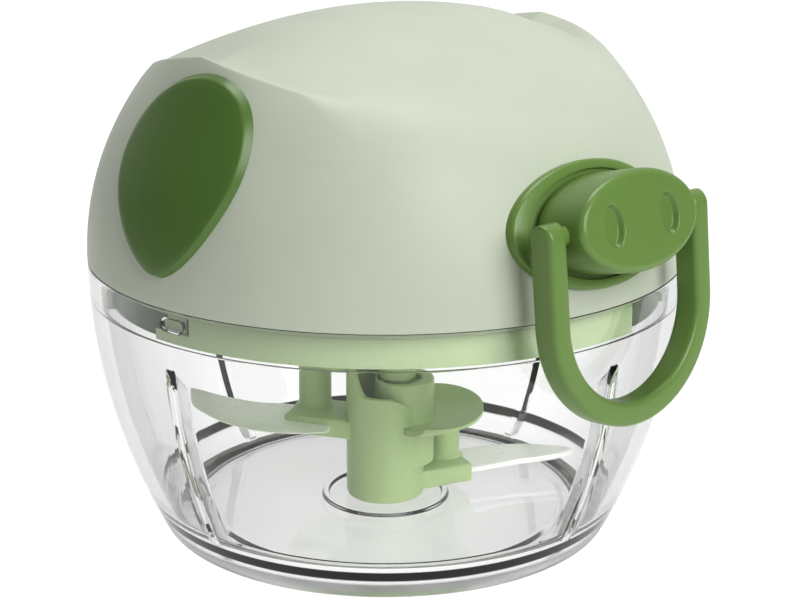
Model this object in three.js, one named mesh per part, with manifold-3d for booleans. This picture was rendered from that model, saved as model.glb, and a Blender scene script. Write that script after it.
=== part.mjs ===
// Pull-cord food chopper with a clear bowl and a round lid. Millimetres, +Z up.
// The origin is on the bowl's axis at the table, the snout points along -Y and the ears along X.
// An azimuth is measured from the front (-Y) and grows towards +X.

import * as THREE from 'three';
import { mergeVertices } from 'three/addons/utils/BufferGeometryUtils.js';
import Module from 'manifold-3d';

const wasm = await Module();
wasm.setup();

// Clearances and cutting values

const FIT = 0.3; // between two pieces that seat on or in each other
const OVERRUN = 1; // how far a cutting solid runs past the face that it cuts
const WELD = 0.00001; // vertices closer than this are one vertex

// How finely round stretches are divided

const BIG_ROUND_STEPS = 48;
const LID_ROUND_STEPS = 64;
const SMALL_ROUND_STEPS = 28;
const TINY_ROUND_STEPS = 16;
const CURVE_STEPS = 10;
const BOWL_STEPS = 8;
const DOME_STEPS = 5;
const ROUTE_STEPS = 24;
const HALVING_COUNT = 30; // rounds of halving that find where two surfaces meet
const FULL_CIRCLE = 360;

const rad = THREE.MathUtils.degToRad;
const mix = THREE.MathUtils.lerp;
const ease = THREE.MathUtils.smoothstep;
const nthAngle = (first, i, count) => first + (FULL_CIRCLE * i) / count;

// Bowl

const RIM_R = 45; // outer radius of the bowl's rim and of the lid above it
const BASE_R = 34.7; // outer radius where the bowl stands
const SEAM_Z = 42.3; // lower edge of the lid cover
const BOWL_H = SEAM_Z - FIT;
const BOWL_WALL = 2.2;
const RIM_WALL = 1.7; // the wall above the ledge that the lid's skirt stands over
const SWELL_POWER = 2.1; // how round the bowl's flank is
const FOOT_R = 31.2; // inner radius of the ring that the bowl stands on
const FOOT_EDGE = 0.4;
const FOOT_HOLLOW = 0.6; // height of the hollow under the floor
const FLOOR_Z = 2.2; // the floor disc's top
const FLOOR_R = 27.3;
const TROUGH_Z = 1.8; // the moat round the floor disc
const TROUGH_R = 28.4;
const TROUGH_OUTER_R = 30.6;
const COVE_R = 33.6; // where the moat has turned up into the wall
const COVE_Z = 4.8;
const COVE_BEND_SHARE = 0.6; // where the moat's outer side bends upwards
const COVE_BEND_RISE_SHARE = 0.25;
const PIVOT_RING_R = 9.9;
const PIVOT_RING_W = 0.9;
const PIVOT_RING_H = 0.5;
const RIB_COUNT = 4;
const RIB_ANGLE = 5; // azimuth of the first rib
const RIB_T = 1.5;
const RIB_DEPTH = 2;
const RIB_TOP_GAP = 9; // from the bowl's rim down to the ribs' upper ends
const RIB_TOP_Z = BOWL_H - RIB_TOP_GAP;
const RIB_BOTTOM_Z = FLOOR_Z + PIVOT_RING_H;
const RIB_RUNOUT = 3; // the ribs' upper ends slope back into the wall over this height

const bowlRadius = (z) => BASE_R + (RIM_R - BASE_R) * (1 - (1 - z / BOWL_H) ** SWELL_POWER);

// Bayonet between bowl and lid base

const LUG_COUNT = 3;
const LUG_ANGLE = -83.4; // azimuth of the first lug's middle
const LUG_HALF_ANGLE = 2.8;
const LUG_DROP = 3.1; // from the bowl's rim down to the lugs' lower sides
const LUG_Z = BOWL_H - LUG_DROP;
const LUG_H = 1.8;
const LUG_REACH = 0.95; // how far a lug stands in from the wall
const SLOT_DEPTH = 0.9;
const SLOT_PLAY_ANGLE = 0.8;
const UNLOCK_ANGLE = 15;
const HOLD_ANGLE = 2.4; // how far the strip under a slot reaches beyond the locked lug
const ENTRY_PLAY_ANGLE = 8.8; // how much wider than the lug the way in is, on its far side

// Lid cover

const COVER_WALL = 2;
const DOME_RISE = 36.6; // from the seam to the dome's top
const DOME_TOP_Z = SEAM_Z + DOME_RISE;
const FLANK_CLOSE = 7.1; // how far over the dome's top the lid's round flank would close
const LID_RISE = DOME_RISE + FLANK_CLOSE;
const DOME_BORDER = 7; // from the rim's radius in to where the next two values are reached
const DOME_R = RIM_R - DOME_BORDER;
const DOME_SIDE_DROP = 7.1; // how far the dome falls towards the ears
const DOME_FRONT_RISE = 19.3; // height of the dome's border over the seam, in front and at the back
const DOME_FRONT_DROP = DOME_RISE - DOME_FRONT_RISE;
const EDGE_FRONT_RISE = 21.3; // height of the lid's edge over the seam, in front and at the back
const EDGE_SIDE_RISE = 32.7; // the same at the ears
const EDGE_STRAIGHT_SHARE = 0.58; // how evenly the edge climbs from front to ear
const EDGE_BLEND_W = 15; // how far inside the edge the dome is back at its own height
const EDGE_W = 0.8; // width of the crease all round the dome
const EDGE_DROP = 0.35;
const EAR_INNER_ANGLE = 4;
const EAR_OUTER_ANGLE = 50;
const EAR_SLOPE_W = 3; // the ears' edges fall towards the dome over this width
const EAR_STEP_SHARE = 0.3;
const EAR_FLARE = 4.4; // how far the ears stand out over the round flank at the height below
const EAR_FLARE_DROP = 19.8; // from the dome's top down to where the ears start to stand out
const EAR_FLARE_START_Z = DOME_TOP_Z - EAR_FLARE_DROP;
const EAR_FLARE_H = 17;
const EAR_FLARE_POWER = 2.5;
const FLARE_INNER_ANGLE = 8;
const FLARE_OUTER_ANGLE = 48;
const FRONT_FLAT = 1; // how far the flank lies back in front and behind, at the height below
const FRONT_FLAT_H = 12;
const FRONT_FLAT_POWER = 1.2;
const FRONT_FLAT_ANGLE = 56;

// Ear inlays

const INLAY_TOP_DROP = 5.9; // from the dome's top down to the inlays' upper ends
const INLAY_TOP_Z = DOME_TOP_Z - INLAY_TOP_DROP;
const INLAY_BELLY_DROP = 11.6; // from there down to where the inlays are widest
const INLAY_BELLY_Z = INLAY_TOP_Z - INLAY_BELLY_DROP;
const INLAY_BOTTOM_RISE = 4.2; // from the seam up to the inlays' tips
const INLAY_BOTTOM_Z = SEAM_Z + INLAY_BOTTOM_RISE;
const INLAY_AHEAD = 2.3; // how far the widest place lies in front of the lid's middle
const INLAY_LEAN = 1.4; // how much further in front the two ends lie
const INLAY_HALF_W = 12.1;
const INLAY_TIP_W = 4.3;
const INLAY_UPPER_BOW = 6.4;
const INLAY_LOWER_BOW = 6.2;
const INLAY_CROWN_W = 6.6;
const INLAY_PROUD = 1.1;
const INLAY_SEAT = 0.9; // how deep the inlays lie in their pockets
const INLAY_BACK = 2.7; // how far behind the lid's side at their top the inlays may reach

// Lid base

const BASE_FLOOR_RISE = 0.7; // from the seam up to the underside of the lid base's plate
const BASE_FLOOR_Z = SEAM_Z + BASE_FLOOR_RISE;
const BASE_PLATE_T = 1.6;
const BASE_TOP_Z = BASE_FLOOR_Z + BASE_PLATE_T;
const SKIRT_H = 5.25; // how far the skirt reaches down from the seam
const SKIRT_BOTTOM_Z = SEAM_Z - SKIRT_H;
const SKIRT_T = 2.3;
const SKIRT_GAP = 0.45; // between the skirt and the bowl's wall
const SKIRT_R = bowlRadius(SKIRT_BOTTOM_Z) - RIM_WALL - SKIRT_GAP;
const LEDGE_Z = SKIRT_BOTTOM_Z - FIT;
const BASE_R_TOP = lidRadius(BASE_TOP_Z, 0) - COVER_WALL - FIT;
const SEAL_GROOVE_H = 1.9;
const SEAL_GROOVE_Z = BASE_FLOOR_Z - SEAL_GROOVE_H;
const SEAL_GROOVE_DEPTH = 1.2;
const SEAL_SHOULDER_SHARE = 0.6;
const BEARING_R = 5.6;
const BEARING_H = 4.6;
const BEARING_BOTTOM_Z = BASE_FLOOR_Z - BEARING_H;

// Cutter

const HUB_R = 6.15;
const HUB_WALL = 1.1;
const HUB_BOTTOM_Z = FLOOR_Z + FIT;
const HUB_FLOOR_Z = 13; // inside the hub's wall, round the boss
const HUB_BACK_Z = 25; // top of the hub's wall at the back
const HUB_SHELF_Z = 19.5;
const HUB_CUT_Z = 14.3; // lowest place of the spiral cut in the hub's wall
const HUB_CUT_START_ANGLE = -125; // azimuths at which the cut starts to fall, levels, falls again and ends
const HUB_SHELF_START_ANGLE = -72;
const HUB_SHELF_END_ANGLE = -38;
const HUB_CUT_END_ANGLE = 31;
const HUB_BACK_START_ANGLE = 100; // from here round the back the wall stands at its full height
const HUB_FALL_POWER = 1.6; // how slowly the cut starts to fall after the shelf
const HUB_BOSS_TOP_Z = 21.3;
const HUB_BOSS_R = 4.67; // the boss inside the hub stands off the axis
const HUB_BOSS_PLACE = 2.97;
const PIN_R = 1.5;
const PIN_HEAD_R = 3;
const PIN_HEAD_T = 0.6;
const PIN_SEAT_DEPTH = 0.8; // how deep the pin's head lies in the bowl's floor
const PIN_TOP_Z = 12;
const LOWER_BLADE_ANGLE = -16; // angle of each arm from +X, seen from above
const UPPER_BLADE_ANGLE = 120;
const LOWER_ARM_GAP = 0.7; // between the lower arm and the ring on the bowl's floor
const LOWER_ARM_Z = FLOOR_Z + PIVOT_RING_H + LOWER_ARM_GAP;
const UPPER_ARM_Z = 11.9;
const ARM_T = 3;
const ARM_W = 9;
const ARM_ROUND = 1.2;
const LOWER_ARM_REACH = 14.4;
const UPPER_ARM_REACH = 15.4;
const POST_R = 2.6;
const LOWER_POST_X = 10.8; // along its arm
const LOWER_POST_Y = 1.3; // towards the blade's cutting edge
const UPPER_POST_X = 12.4;
const UPPER_POST_Y = -1.8;
const DISH_RISE = 8.4; // from an arm's top to the dish over it
const DISH_R = 15.4;
const DISH_T = 1.1;
const DISH_DEPTH = 1.9;
const DISH_START_ANGLE = -86; // from the arm's own direction
const DISH_END_ANGLE = 29;
const DISH_END_SHARE = 0.3; // how much of the dish's width its two ends lose
const DISH_END_POWER = 4;
const BLADE_T = 0.9;
const BLADE_EDGE_T = 0.2;
const BLADE_GRIND_SHARE = 0.6; // where across the blade its ground edge starts
const BLADE_ROOT = 8.2; // distance of the blade's root from the axis, inside the arm
const LOWER_RISE = 1.2; // how far a blade's tip stands over its root
const UPPER_RISE = 2.3;
const LOWER_GAP = 1.6; // between a blade's tip and the ribs in the bowl
const UPPER_GAP = 3.7;
const BLADE_BACK_W = 3;
const BLADE_FRONT_W = 8.4;
const BLADE_HOOK_W = 3;

// Drive

const SHAFT_R = 2.8;
const SHAFT_END_Z = 25.5; // the round shaft ends in an offset peg
const PEG_R = 2.9;
const PEG_PLACE = 1.9; // distance of the peg from the axis
const PEG_ANGLE = -42; // direction of the peg and of the hub's boss from +X, seen from above
const PEG_END_Z = 21.2;
const PEG_GAP = 0.9; // round the peg, inside the hub's boss
const HEX_R = 2.1;
const HEX_BOTTOM_Z = 14.5;
const HEX_SIDE_COUNT = 6;
const HEX_DEPTH_GAP = 0.7;
const RATCHET_Z = BASE_TOP_Z + FIT;
const RATCHET_T = 2;
const RATCHET_R = 8.6;
const RATCHET_TOOTH = 1.1;
const RATCHET_TOOTH_COUNT = 10;
const PAWL_L = 8;
const PAWL_W = 2.6;
const PAWL_T = RATCHET_T - FIT;

// Reel

const REEL_Z = RATCHET_Z + RATCHET_T + FIT;
const REEL_FLANGE_T = 1.3;
const REEL_FLANGE_R = 18.5;
const REEL_CORE_R = 12;
const REEL_CORE_WALL = 1.4;
const REEL_H = 9;
const REEL_TOP_Z = REEL_Z + REEL_H;
const SPRING_FLOOR_Z = REEL_Z + REEL_FLANGE_T + FIT;
const AXLE_R = 1.9;
const CORD_D = 2.2;
const WINDING_T = 2.4;
const SPRING_T = 0.5;
const SPRING_TURN_COUNT = 4;
const SPRING_INNER_R = AXLE_R + FIT;
const SPRING_STEPS_PER_TURN = 20;

// Bridge over the reel

const BRIDGE_Z = REEL_TOP_Z + FIT;
const BRIDGE_T = 1.8;
const BRIDGE_R = 9;
const BRIDGE_ARM_W = 6.5;
const LEG_PLACE = 25.5;
const LEG_R = 3.4;
const LEG_COUNT = 3;
const LEG_ANGLE = 80;
const SCREW_R = 1.2;
const SCREW_HEAD_R = 2.4;
const SCREW_HEAD_T = 1.5;
const SCREW_L = 9;
const SCREW_SLOT_W = 0.6;
const SCREW_SLOT_DEPTH = 0.6;
const SCREW_CROSS_W = 2.9;
const SCREW_CROWN_SHARE = 0.8;

// Cover bosses

const BOSS_COUNT = 3;
const BOSS_ANGLE = 20;
const BOSS_R = 3;
const BOSS_IN = 6.5; // between a boss and the lid's round wall
const BOSS_PLACE = RIM_R - COVER_WALL - BOSS_IN - BOSS_R;
const BOSS_BOTTOM_Z = BASE_TOP_Z + FIT;

// Snout, collar and cord along one tilted line

const PULL_ANGLE = 14; // the line of pull rises by this towards the front
const PULL_LINE_RISE = 0.9; // height over the seam at which the line of pull meets the axis
const PULL_LINE_Z = SEAM_Z + PULL_LINE_RISE;
const PULL_EXIT = lidReach(); // distance along the line of pull at which it leaves the lid
const SNOUT_HALF_W = 11.6;
const SNOUT_HALF_H = 6.8;
const SNOUT_L = 8.25; // from the lid's outside to the snout's face
const SNOUT_FACE = PULL_EXIT + SNOUT_L;
const SNOUT_REAR = PULL_EXIT - SNOUT_HALF_H;
const SNOUT_ROUND = 1;
const SNOUT_WALL = 1.8;
const SNOUT_FRONT_WALL = 1.4;
const NOSTRIL_PLACE = 5.5;
const NOSTRIL_HALF_W = 1.8;
const NOSTRIL_HALF_H = 2.9;
const NOSTRIL_DEPTH = 0.5;
const COLLAR_HALF_W = 15;
const COLLAR_HALF_H = 8.7;
const COLLAR_PROUD = 1.3;
const COLLAR_SEAT = 0.7;
const SPIGOT_HALF_W = 7;
const SPIGOT_HALF_H = 4.5;
const EYELET_R = 3;
const EYELET_HOLE_R = CORD_D / 2 + FIT;
const EYELET_FLANGE_R = 3.8;
const EYELET_FLANGE_T = 0.8;
const EYELET_L = 5.4;
const EYELET_SINK = 0.75; // how far the eyelet's face lies behind the lid's outside
const EYELET_FACE = PULL_EXIT - EYELET_SINK;
const EYELET_INNER = EYELET_FACE - EYELET_L;
const SPIGOT_L = 6.4;
const SPIGOT_INNER = EYELET_FACE - SPIGOT_L;
const KNOT_R = 2.4;
const KNOT_H = 2.1;
const PLUG_FRONT = SNOUT_FACE - SNOUT_FRONT_WALL - KNOT_H - 2 * FIT;

// Pull ring

const RING_PIVOT_BACK = 3.7; // from the snout's face back to the ring's pivots
const RING_PIVOT = SNOUT_FACE - RING_PIVOT_BACK;
const RING_HALF_W = 15.9;
const RING_BAR_W = 3.2; // across the front
const RING_BAR_D = 4; // front to back
const RING_BOW_W = 3.4; // bar width at the bottom of the bow
const RING_STRAIGHT = 11.8;
const RING_ANGLE = 6; // how far the hanging ring leans forward
const RING_ROUND = 0.6;
const STUB_R = 1.3;
const STUB_REACH = 2.1;

// Shapes

function solidOf(geometry) {
  const bare = geometry.index ? geometry.toNonIndexed() : geometry.clone();
  bare.deleteAttribute('normal');
  bare.deleteAttribute('uv');
  const welded = mergeVertices(bare, WELD);
  const corners = welded.index.array;
  const kept = [];
  for (let i = 0; i < corners.length; i += 3) {
    const [a, b, c] = corners.slice(i, i + 3);
    if (a !== b && b !== c && c !== a) kept.push(a, b, c);
  }
  const vertProperties = new Float32Array(welded.attributes.position.array);
  const triVerts = new Uint32Array(kept);
  return new wasm.Manifold(new wasm.Mesh({ numProp: 3, vertProperties, triVerts }));
}

function geometryOf(solid) {
  const mesh = solid.getMesh();
  const geometry = new THREE.BufferGeometry();
  geometry.setAttribute('position', new THREE.Float32BufferAttribute(mesh.vertProperties, 3));
  geometry.setIndex(Array.from(mesh.triVerts));
  geometry.computeVertexNormals();
  return geometry;
}

// Turns a profile of [radius, height] pairs round the Z axis.
function turned(profile, steps = SMALL_ROUND_STEPS) {
  const points = profile.map(([r, z]) => new THREE.Vector2(r, z));
  return new THREE.LatheGeometry(points, steps).rotateX(Math.PI / 2);
}

function disc(radius, bottom, top, steps = SMALL_ROUND_STEPS) {
  return turned([[0, bottom], [radius, bottom], [radius, top], [0, top]], steps);
}

function ring(inner, outer, bottom, top, steps = SMALL_ROUND_STEPS) {
  return turned([[inner, bottom], [outer, bottom], [outer, top], [inner, top], [inner, bottom]], steps);
}

function box(width, depth, bottom, top) {
  return new THREE.BoxGeometry(width, depth, top - bottom).translate(0, 0, (bottom + top) / 2);
}

function prism(shape, bottom, top, bevel = 0) {
  const geometry = new THREE.ExtrudeGeometry(shape, {
    depth: top - bottom - 2 * bevel,
    bevelEnabled: bevel > 0,
    bevelThickness: bevel,
    bevelSize: bevel,
    bevelOffset: -bevel,
    bevelSegments: 2,
    curveSegments: CURVE_STEPS,
  });
  return geometry.translate(0, 0, bottom + bevel);
}

function ovalShape(halfWidth, halfHeight) {
  return new THREE.Shape().absellipse(0, 0, halfWidth, halfHeight, 0, 2 * Math.PI, false, 0);
}

// A closed solid from two grids of points, top and bottom, over u and v from 0 to 1.
function slab(uSteps, vSteps, top, bottom) {
  const positions = [];
  const push = (...points) => points.forEach((p) => positions.push(p.x, p.y, p.z));
  const quad = (a, b, c, d) => push(a, b, c, a, c, d);
  for (let i = 0; i < uSteps; i += 1) {
    for (let j = 0; j < vSteps; j += 1) {
      const [u0, u1, v0, v1] = [i / uSteps, (i + 1) / uSteps, j / vSteps, (j + 1) / vSteps];
      quad(top(u0, v0), top(u1, v0), top(u1, v1), top(u0, v1));
      quad(bottom(u0, v0), bottom(u0, v1), bottom(u1, v1), bottom(u1, v0));
      if (i === 0) quad(bottom(0, v0), top(0, v0), top(0, v1), bottom(0, v1));
      if (i === uSteps - 1) quad(bottom(1, v0), bottom(1, v1), top(1, v1), top(1, v0));
      if (j === 0) quad(bottom(u0, 0), bottom(u1, 0), top(u1, 0), top(u0, 0));
      if (j === vSteps - 1) quad(bottom(u0, 1), top(u0, 1), top(u1, 1), bottom(u1, 1));
    }
  }
  const geometry = new THREE.BufferGeometry();
  geometry.setAttribute('position', new THREE.Float32BufferAttribute(positions, 3));
  return geometry;
}

function onAzimuth(r, azimuth, z) {
  return new THREE.Vector3(r * Math.sin(rad(azimuth)), -r * Math.cos(rad(azimuth)), z);
}

// A piece of a ring between two azimuths.
function sector(inner, outer, bottom, top, from, to) {
  const at = (z) => (u, v) => onAzimuth(mix(inner, outer, v), mix(to, from, u), z);
  return slab(CURVE_STEPS, 1, at(top), at(bottom));
}

// A solid whose profile of [radius, height] pairs changes with the azimuth.
// Every profile has as many points as the others, and starts and ends on the axis.
function swept(profileAt, steps) {
  const profiles = [];
  for (let i = 0; i < steps; i += 1) profiles.push(profileAt(nthAngle(0, i, steps)));
  const positions = [];
  for (let i = 0; i < steps; i += 1) {
    const here = profiles[i];
    const next = profiles[(i + 1) % steps];
    const azimuths = [nthAngle(0, i, steps), nthAngle(0, i + 1, steps)];
    for (let j = 0; j + 1 < here.length; j += 1) {
      const a = onAzimuth(here[j][0], azimuths[0], here[j][1]);
      const b = onAzimuth(next[j][0], azimuths[1], next[j][1]);
      const c = onAzimuth(next[j + 1][0], azimuths[1], next[j + 1][1]);
      const d = onAzimuth(here[j + 1][0], azimuths[0], here[j + 1][1]);
      [a, b, c, a, c, d].forEach((p) => positions.push(p.x, p.y, p.z));
    }
  }
  const geometry = new THREE.BufferGeometry();
  geometry.setAttribute('position', new THREE.Float32BufferAttribute(positions, 3));
  return geometry;
}

function cut(solid, ...cutters) {
  return cutters.reduce((left, cutter) => left.subtract(cutter), solid);
}

function join(solid, ...others) {
  return others.reduce((left, other) => left.add(other), solid);
}

// Materials

function finish(color, roughness, metalness = 0, extra = {}) {
  return new THREE.MeshStandardMaterial({ color, roughness, metalness, ...extra });
}

const clear = finish(0xf4f7f6, 0.05, 0, { transparent: true, opacity: 0.3 });
const sage = finish(0xc6cfba, 0.55);
const leaf = finish(0x6f944a, 0.45);
const moss = finish(0x4b6e33, 0.5);
const pale = finish(0xa5be8c, 0.4);
const steel = finish(0xdfe2e0, 0.25, 1);
const white = finish(0xe9e9e4, 0.5);
const silicone = finish(0xd5dccb, 0.7);
const cordWhite = finish(0xe4e6df, 0.85);

function piece(name, geometry, material) {
  const mesh = new THREE.Mesh(geometry, material.clone());
  mesh.name = name;
  return mesh;
}

// Bowl group

function bowlSolid() {
  const outer = [];
  for (let i = 0; i <= BOWL_STEPS; i += 1) {
    const z = mix(FOOT_EDGE, BOWL_H, i / BOWL_STEPS);
    outer.push([bowlRadius(z), z]);
  }
  const inner = [
    [bowlRadius(BOWL_H) - RIM_WALL, BOWL_H],
    [bowlRadius(LEDGE_Z) - RIM_WALL, LEDGE_Z],
  ];
  for (let i = BOWL_STEPS; i >= 0; i -= 1) {
    const z = mix(COVE_Z, LEDGE_Z, i / BOWL_STEPS);
    inner.push([Math.max(bowlRadius(z) - BOWL_WALL, COVE_R), z]);
  }
  const ringInner = PIVOT_RING_R - PIVOT_RING_W;
  const shell = solidOf(turned([
    [0, FOOT_HOLLOW],
    [FOOT_R - FOOT_HOLLOW, FOOT_HOLLOW],
    [FOOT_R, 0],
    [BASE_R, 0],
    ...outer,
    ...inner,
    [mix(TROUGH_OUTER_R, COVE_R, COVE_BEND_SHARE), mix(TROUGH_Z, COVE_Z, COVE_BEND_RISE_SHARE)],
    [TROUGH_OUTER_R, TROUGH_Z],
    [TROUGH_R, TROUGH_Z],
    [FLOOR_R, FLOOR_Z],
    [PIVOT_RING_R, FLOOR_Z],
    [PIVOT_RING_R, FLOOR_Z + PIVOT_RING_H],
    [ringInner, FLOOR_Z + PIVOT_RING_H],
    [ringInner, FLOOR_Z],
    [0, FLOOR_Z],
  ], BIG_ROUND_STEPS));
  const ribs = [];
  for (let i = 0; i < RIB_COUNT; i += 1) ribs.push(solidOf(rib(nthAngle(RIB_ANGLE, i, RIB_COUNT))));
  const lugs = [];
  for (let i = 0; i < LUG_COUNT; i += 1) {
    const azimuth = nthAngle(LUG_ANGLE, i, LUG_COUNT);
    const wall = bowlRadius(LUG_Z) - RIM_WALL;
    const lug = sector(wall - LUG_REACH, wall + RIM_WALL / 2, LUG_Z, LUG_Z + LUG_H,
      azimuth - LUG_HALF_ANGLE, azimuth + LUG_HALF_ANGLE);
    lugs.push(solidOf(lug));
  }
  const seat = FLOOR_Z - PIN_SEAT_DEPTH;
  const pinSeat = solidOf(disc(PIN_HEAD_R + FIT, seat, FLOOR_Z + OVERRUN));
  return cut(join(shell, ...ribs, ...lugs), pinSeat);
}

// A thin upright fin on the inside of the bowl's wall.
function rib(azimuth) {
  const along = (v) => mix(RIB_BOTTOM_Z, RIB_TOP_Z, v);
  const reach = (z) => RIB_DEPTH * Math.min(1, (RIB_TOP_Z - z) / RIB_RUNOUT);
  const at = (side) => (u, v) => {
    const z = along(u);
    const wall = bowlRadius(z) - BOWL_WALL;
    const r = mix(wall + BOWL_WALL / 2, wall - reach(z), v);
    const turn = THREE.MathUtils.radToDeg(Math.asin((side * RIB_T) / 2 / r));
    return onAzimuth(r, azimuth + turn, z);
  };
  return slab(CURVE_STEPS, 1, at(-1), at(1));
}

function pivotPin() {
  const bottom = FLOOR_Z - PIN_SEAT_DEPTH + FIT;
  return turned([
    [0, bottom],
    [PIN_HEAD_R, bottom],
    [PIN_HEAD_R, bottom + PIN_HEAD_T],
    [PIN_R, bottom + PIN_HEAD_T],
    [PIN_R, PIN_TOP_Z - PIN_R / 2],
    [PIN_R / 2, PIN_TOP_Z],
    [0, PIN_TOP_Z],
  ], TINY_ROUND_STEPS);
}

// Cutter group

// The top of the hub's wall: full height at the back, then a spiral cut down to the right.
function hubTop(azimuth) {
  const wrapped = azimuth > FULL_CIRCLE / 2 ? azimuth - FULL_CIRCLE : azimuth;
  if (wrapped <= HUB_SHELF_START_ANGLE) {
    return mix(HUB_BACK_Z, HUB_SHELF_Z, ease(wrapped, HUB_CUT_START_ANGLE, HUB_SHELF_START_ANGLE));
  }
  if (wrapped > HUB_BACK_START_ANGLE) return HUB_BACK_Z;
  const along = (wrapped - HUB_SHELF_END_ANGLE) / (HUB_CUT_END_ANGLE - HUB_SHELF_END_ANGLE);
  const fall = THREE.MathUtils.clamp(along, 0, 1) ** HUB_FALL_POWER;
  return mix(HUB_SHELF_Z, HUB_CUT_Z, fall);
}

// A blade ends this far from the axis: short of the ribs at the height of its tip.
function bladeReach(z, rise, gap) {
  return bowlRadius(z + ARM_T / 2 + rise) - BOWL_WALL - RIB_DEPTH - gap;
}

const bladePlaces = [
  {
    name: 'blade_lower',
    turn: LOWER_BLADE_ANGLE,
    z: LOWER_ARM_Z,
    reach: bladeReach(LOWER_ARM_Z, LOWER_RISE, LOWER_GAP),
    rise: LOWER_RISE,
    armReach: LOWER_ARM_REACH,
    post: [LOWER_POST_X, LOWER_POST_Y],
  },
  {
    name: 'blade_upper',
    turn: UPPER_BLADE_ANGLE,
    z: UPPER_ARM_Z,
    reach: bladeReach(UPPER_ARM_Z, UPPER_RISE, UPPER_GAP),
    rise: UPPER_RISE,
    armReach: UPPER_ARM_REACH,
    post: [UPPER_POST_X, UPPER_POST_Y],
  },
];

function armBlock(z, reach) {
  const shape = new THREE.Shape();
  const half = ARM_W / 2;
  shape.moveTo(0, -half);
  shape.lineTo(reach - ARM_ROUND, -half);
  shape.quadraticCurveTo(reach, -half, reach, ARM_ROUND - half);
  shape.lineTo(reach, half - ARM_ROUND);
  shape.quadraticCurveTo(reach, half, reach - ARM_ROUND, half);
  shape.lineTo(0, half);
  return prism(shape, z, z + ARM_T);
}

// The dish over an arm: a shallow scoop round part of the hub.
function dish(z) {
  const inner = HUB_R - HUB_WALL / 2;
  const rise = (v) => DISH_DEPTH * v * v;
  const narrowing = (u) => (DISH_R - inner) * DISH_END_SHARE * (2 * u - 1) ** DISH_END_POWER;
  const at = (drop) => (u, v) => {
    const r = mix(inner, DISH_R - narrowing(u), v);
    const angle = rad(mix(DISH_START_ANGLE, DISH_END_ANGLE, u));
    return new THREE.Vector3(r * Math.cos(angle), r * Math.sin(angle), z + rise(v) - drop);
  };
  return slab(2 * CURVE_STEPS, 4, (u, v) => at(0)(1 - u, v), (u, v) => at(DISH_T)(1 - u, v));
}

// A blade lies along +X from inside its arm, swept back and ground on its front edge.
function blade(place, z = 0, grow = 0) {
  const backShares = [0, 0.02, 0.1, 0.24, 0.3];
  const frontShares = [0.9, 1, 0.98, 0.72, -0.12];
  const at = (shares, u) => {
    const step = u * (shares.length - 1);
    const i = Math.min(Math.floor(step), shares.length - 2);
    return mix(shares[i], shares[i + 1], step - i);
  };
  const point = (side) => (u, v) => {
    const back = -BLADE_BACK_W * (1 - at(backShares, u)) - grow;
    const front = BLADE_FRONT_W * at(frontShares, u) + grow;
    const half = mix(BLADE_T, BLADE_EDGE_T, ease(v, BLADE_GRIND_SHARE, 1)) / 2 + grow;
    const x = mix(BLADE_ROOT - grow, place.reach + grow, u) - BLADE_HOOK_W * v * v * u ** 4;
    return new THREE.Vector3(x, mix(back, front, v), z + place.rise * u * u + side * half);
  };
  return slab(CURVE_STEPS, 5, point(1), point(-1));
}

function turnedAbout(geometry, angle) {
  return geometry.rotateZ(rad(angle));
}

// Places a piece beside the axis, in the direction of the drive's offset peg.
function offAxis(geometry, distance) {
  return solidOf(geometry.translate(distance, 0, 0).rotateZ(rad(PEG_ANGLE)));
}

function cutterHub() {
  const inner = HUB_R - HUB_WALL;
  const tube = solidOf(swept((azimuth) => {
    const top = hubTop(azimuth);
    return [[0, HUB_BOTTOM_Z], [HUB_R, HUB_BOTTOM_Z], [HUB_R, top], [inner, top], [inner, HUB_FLOOR_Z],
      [0, HUB_FLOOR_Z]];
  }, BIG_ROUND_STEPS));
  const boss = offAxis(disc(HUB_BOSS_R, HUB_FLOOR_Z - OVERRUN, HUB_BOSS_TOP_Z), HUB_BOSS_PLACE);
  const arms = [];
  const slots = [];
  for (const place of bladePlaces) {
    const { turn, z, post } = place;
    const dishZ = z + ARM_T + DISH_RISE;
    const postSolid = disc(POST_R, z + ARM_T / 2, dishZ, TINY_ROUND_STEPS).translate(post[0], post[1], 0);
    arms.push(solidOf(turnedAbout(armBlock(z, place.armReach), turn)));
    arms.push(solidOf(turnedAbout(postSolid, turn)));
    arms.push(solidOf(turnedAbout(dish(dishZ), turn)));
    slots.push(solidOf(turnedAbout(blade(place, z + ARM_T / 2, FIT), turn)));
  }
  const pinHole = solidOf(disc(PIN_R + FIT, HUB_BOTTOM_Z - OVERRUN, PIN_TOP_Z + FIT, TINY_ROUND_STEPS));
  const headRoom = solidOf(disc(PIN_HEAD_R + FIT, HUB_BOTTOM_Z - OVERRUN, HUB_BOTTOM_Z + FIT));
  const socket = offAxis(
    disc(HEX_R + FIT, HEX_BOTTOM_Z - HEX_DEPTH_GAP, HUB_BACK_Z + OVERRUN, HEX_SIDE_COUNT), PEG_PLACE);
  const pegRoom = offAxis(disc(PEG_R + PEG_GAP, PEG_END_Z - PEG_GAP, HUB_BACK_Z + OVERRUN), PEG_PLACE);
  return cut(cut(join(tube, boss, ...arms), ...slots), pinHole, headRoom, socket, pegRoom);
}

// Drive group

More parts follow.
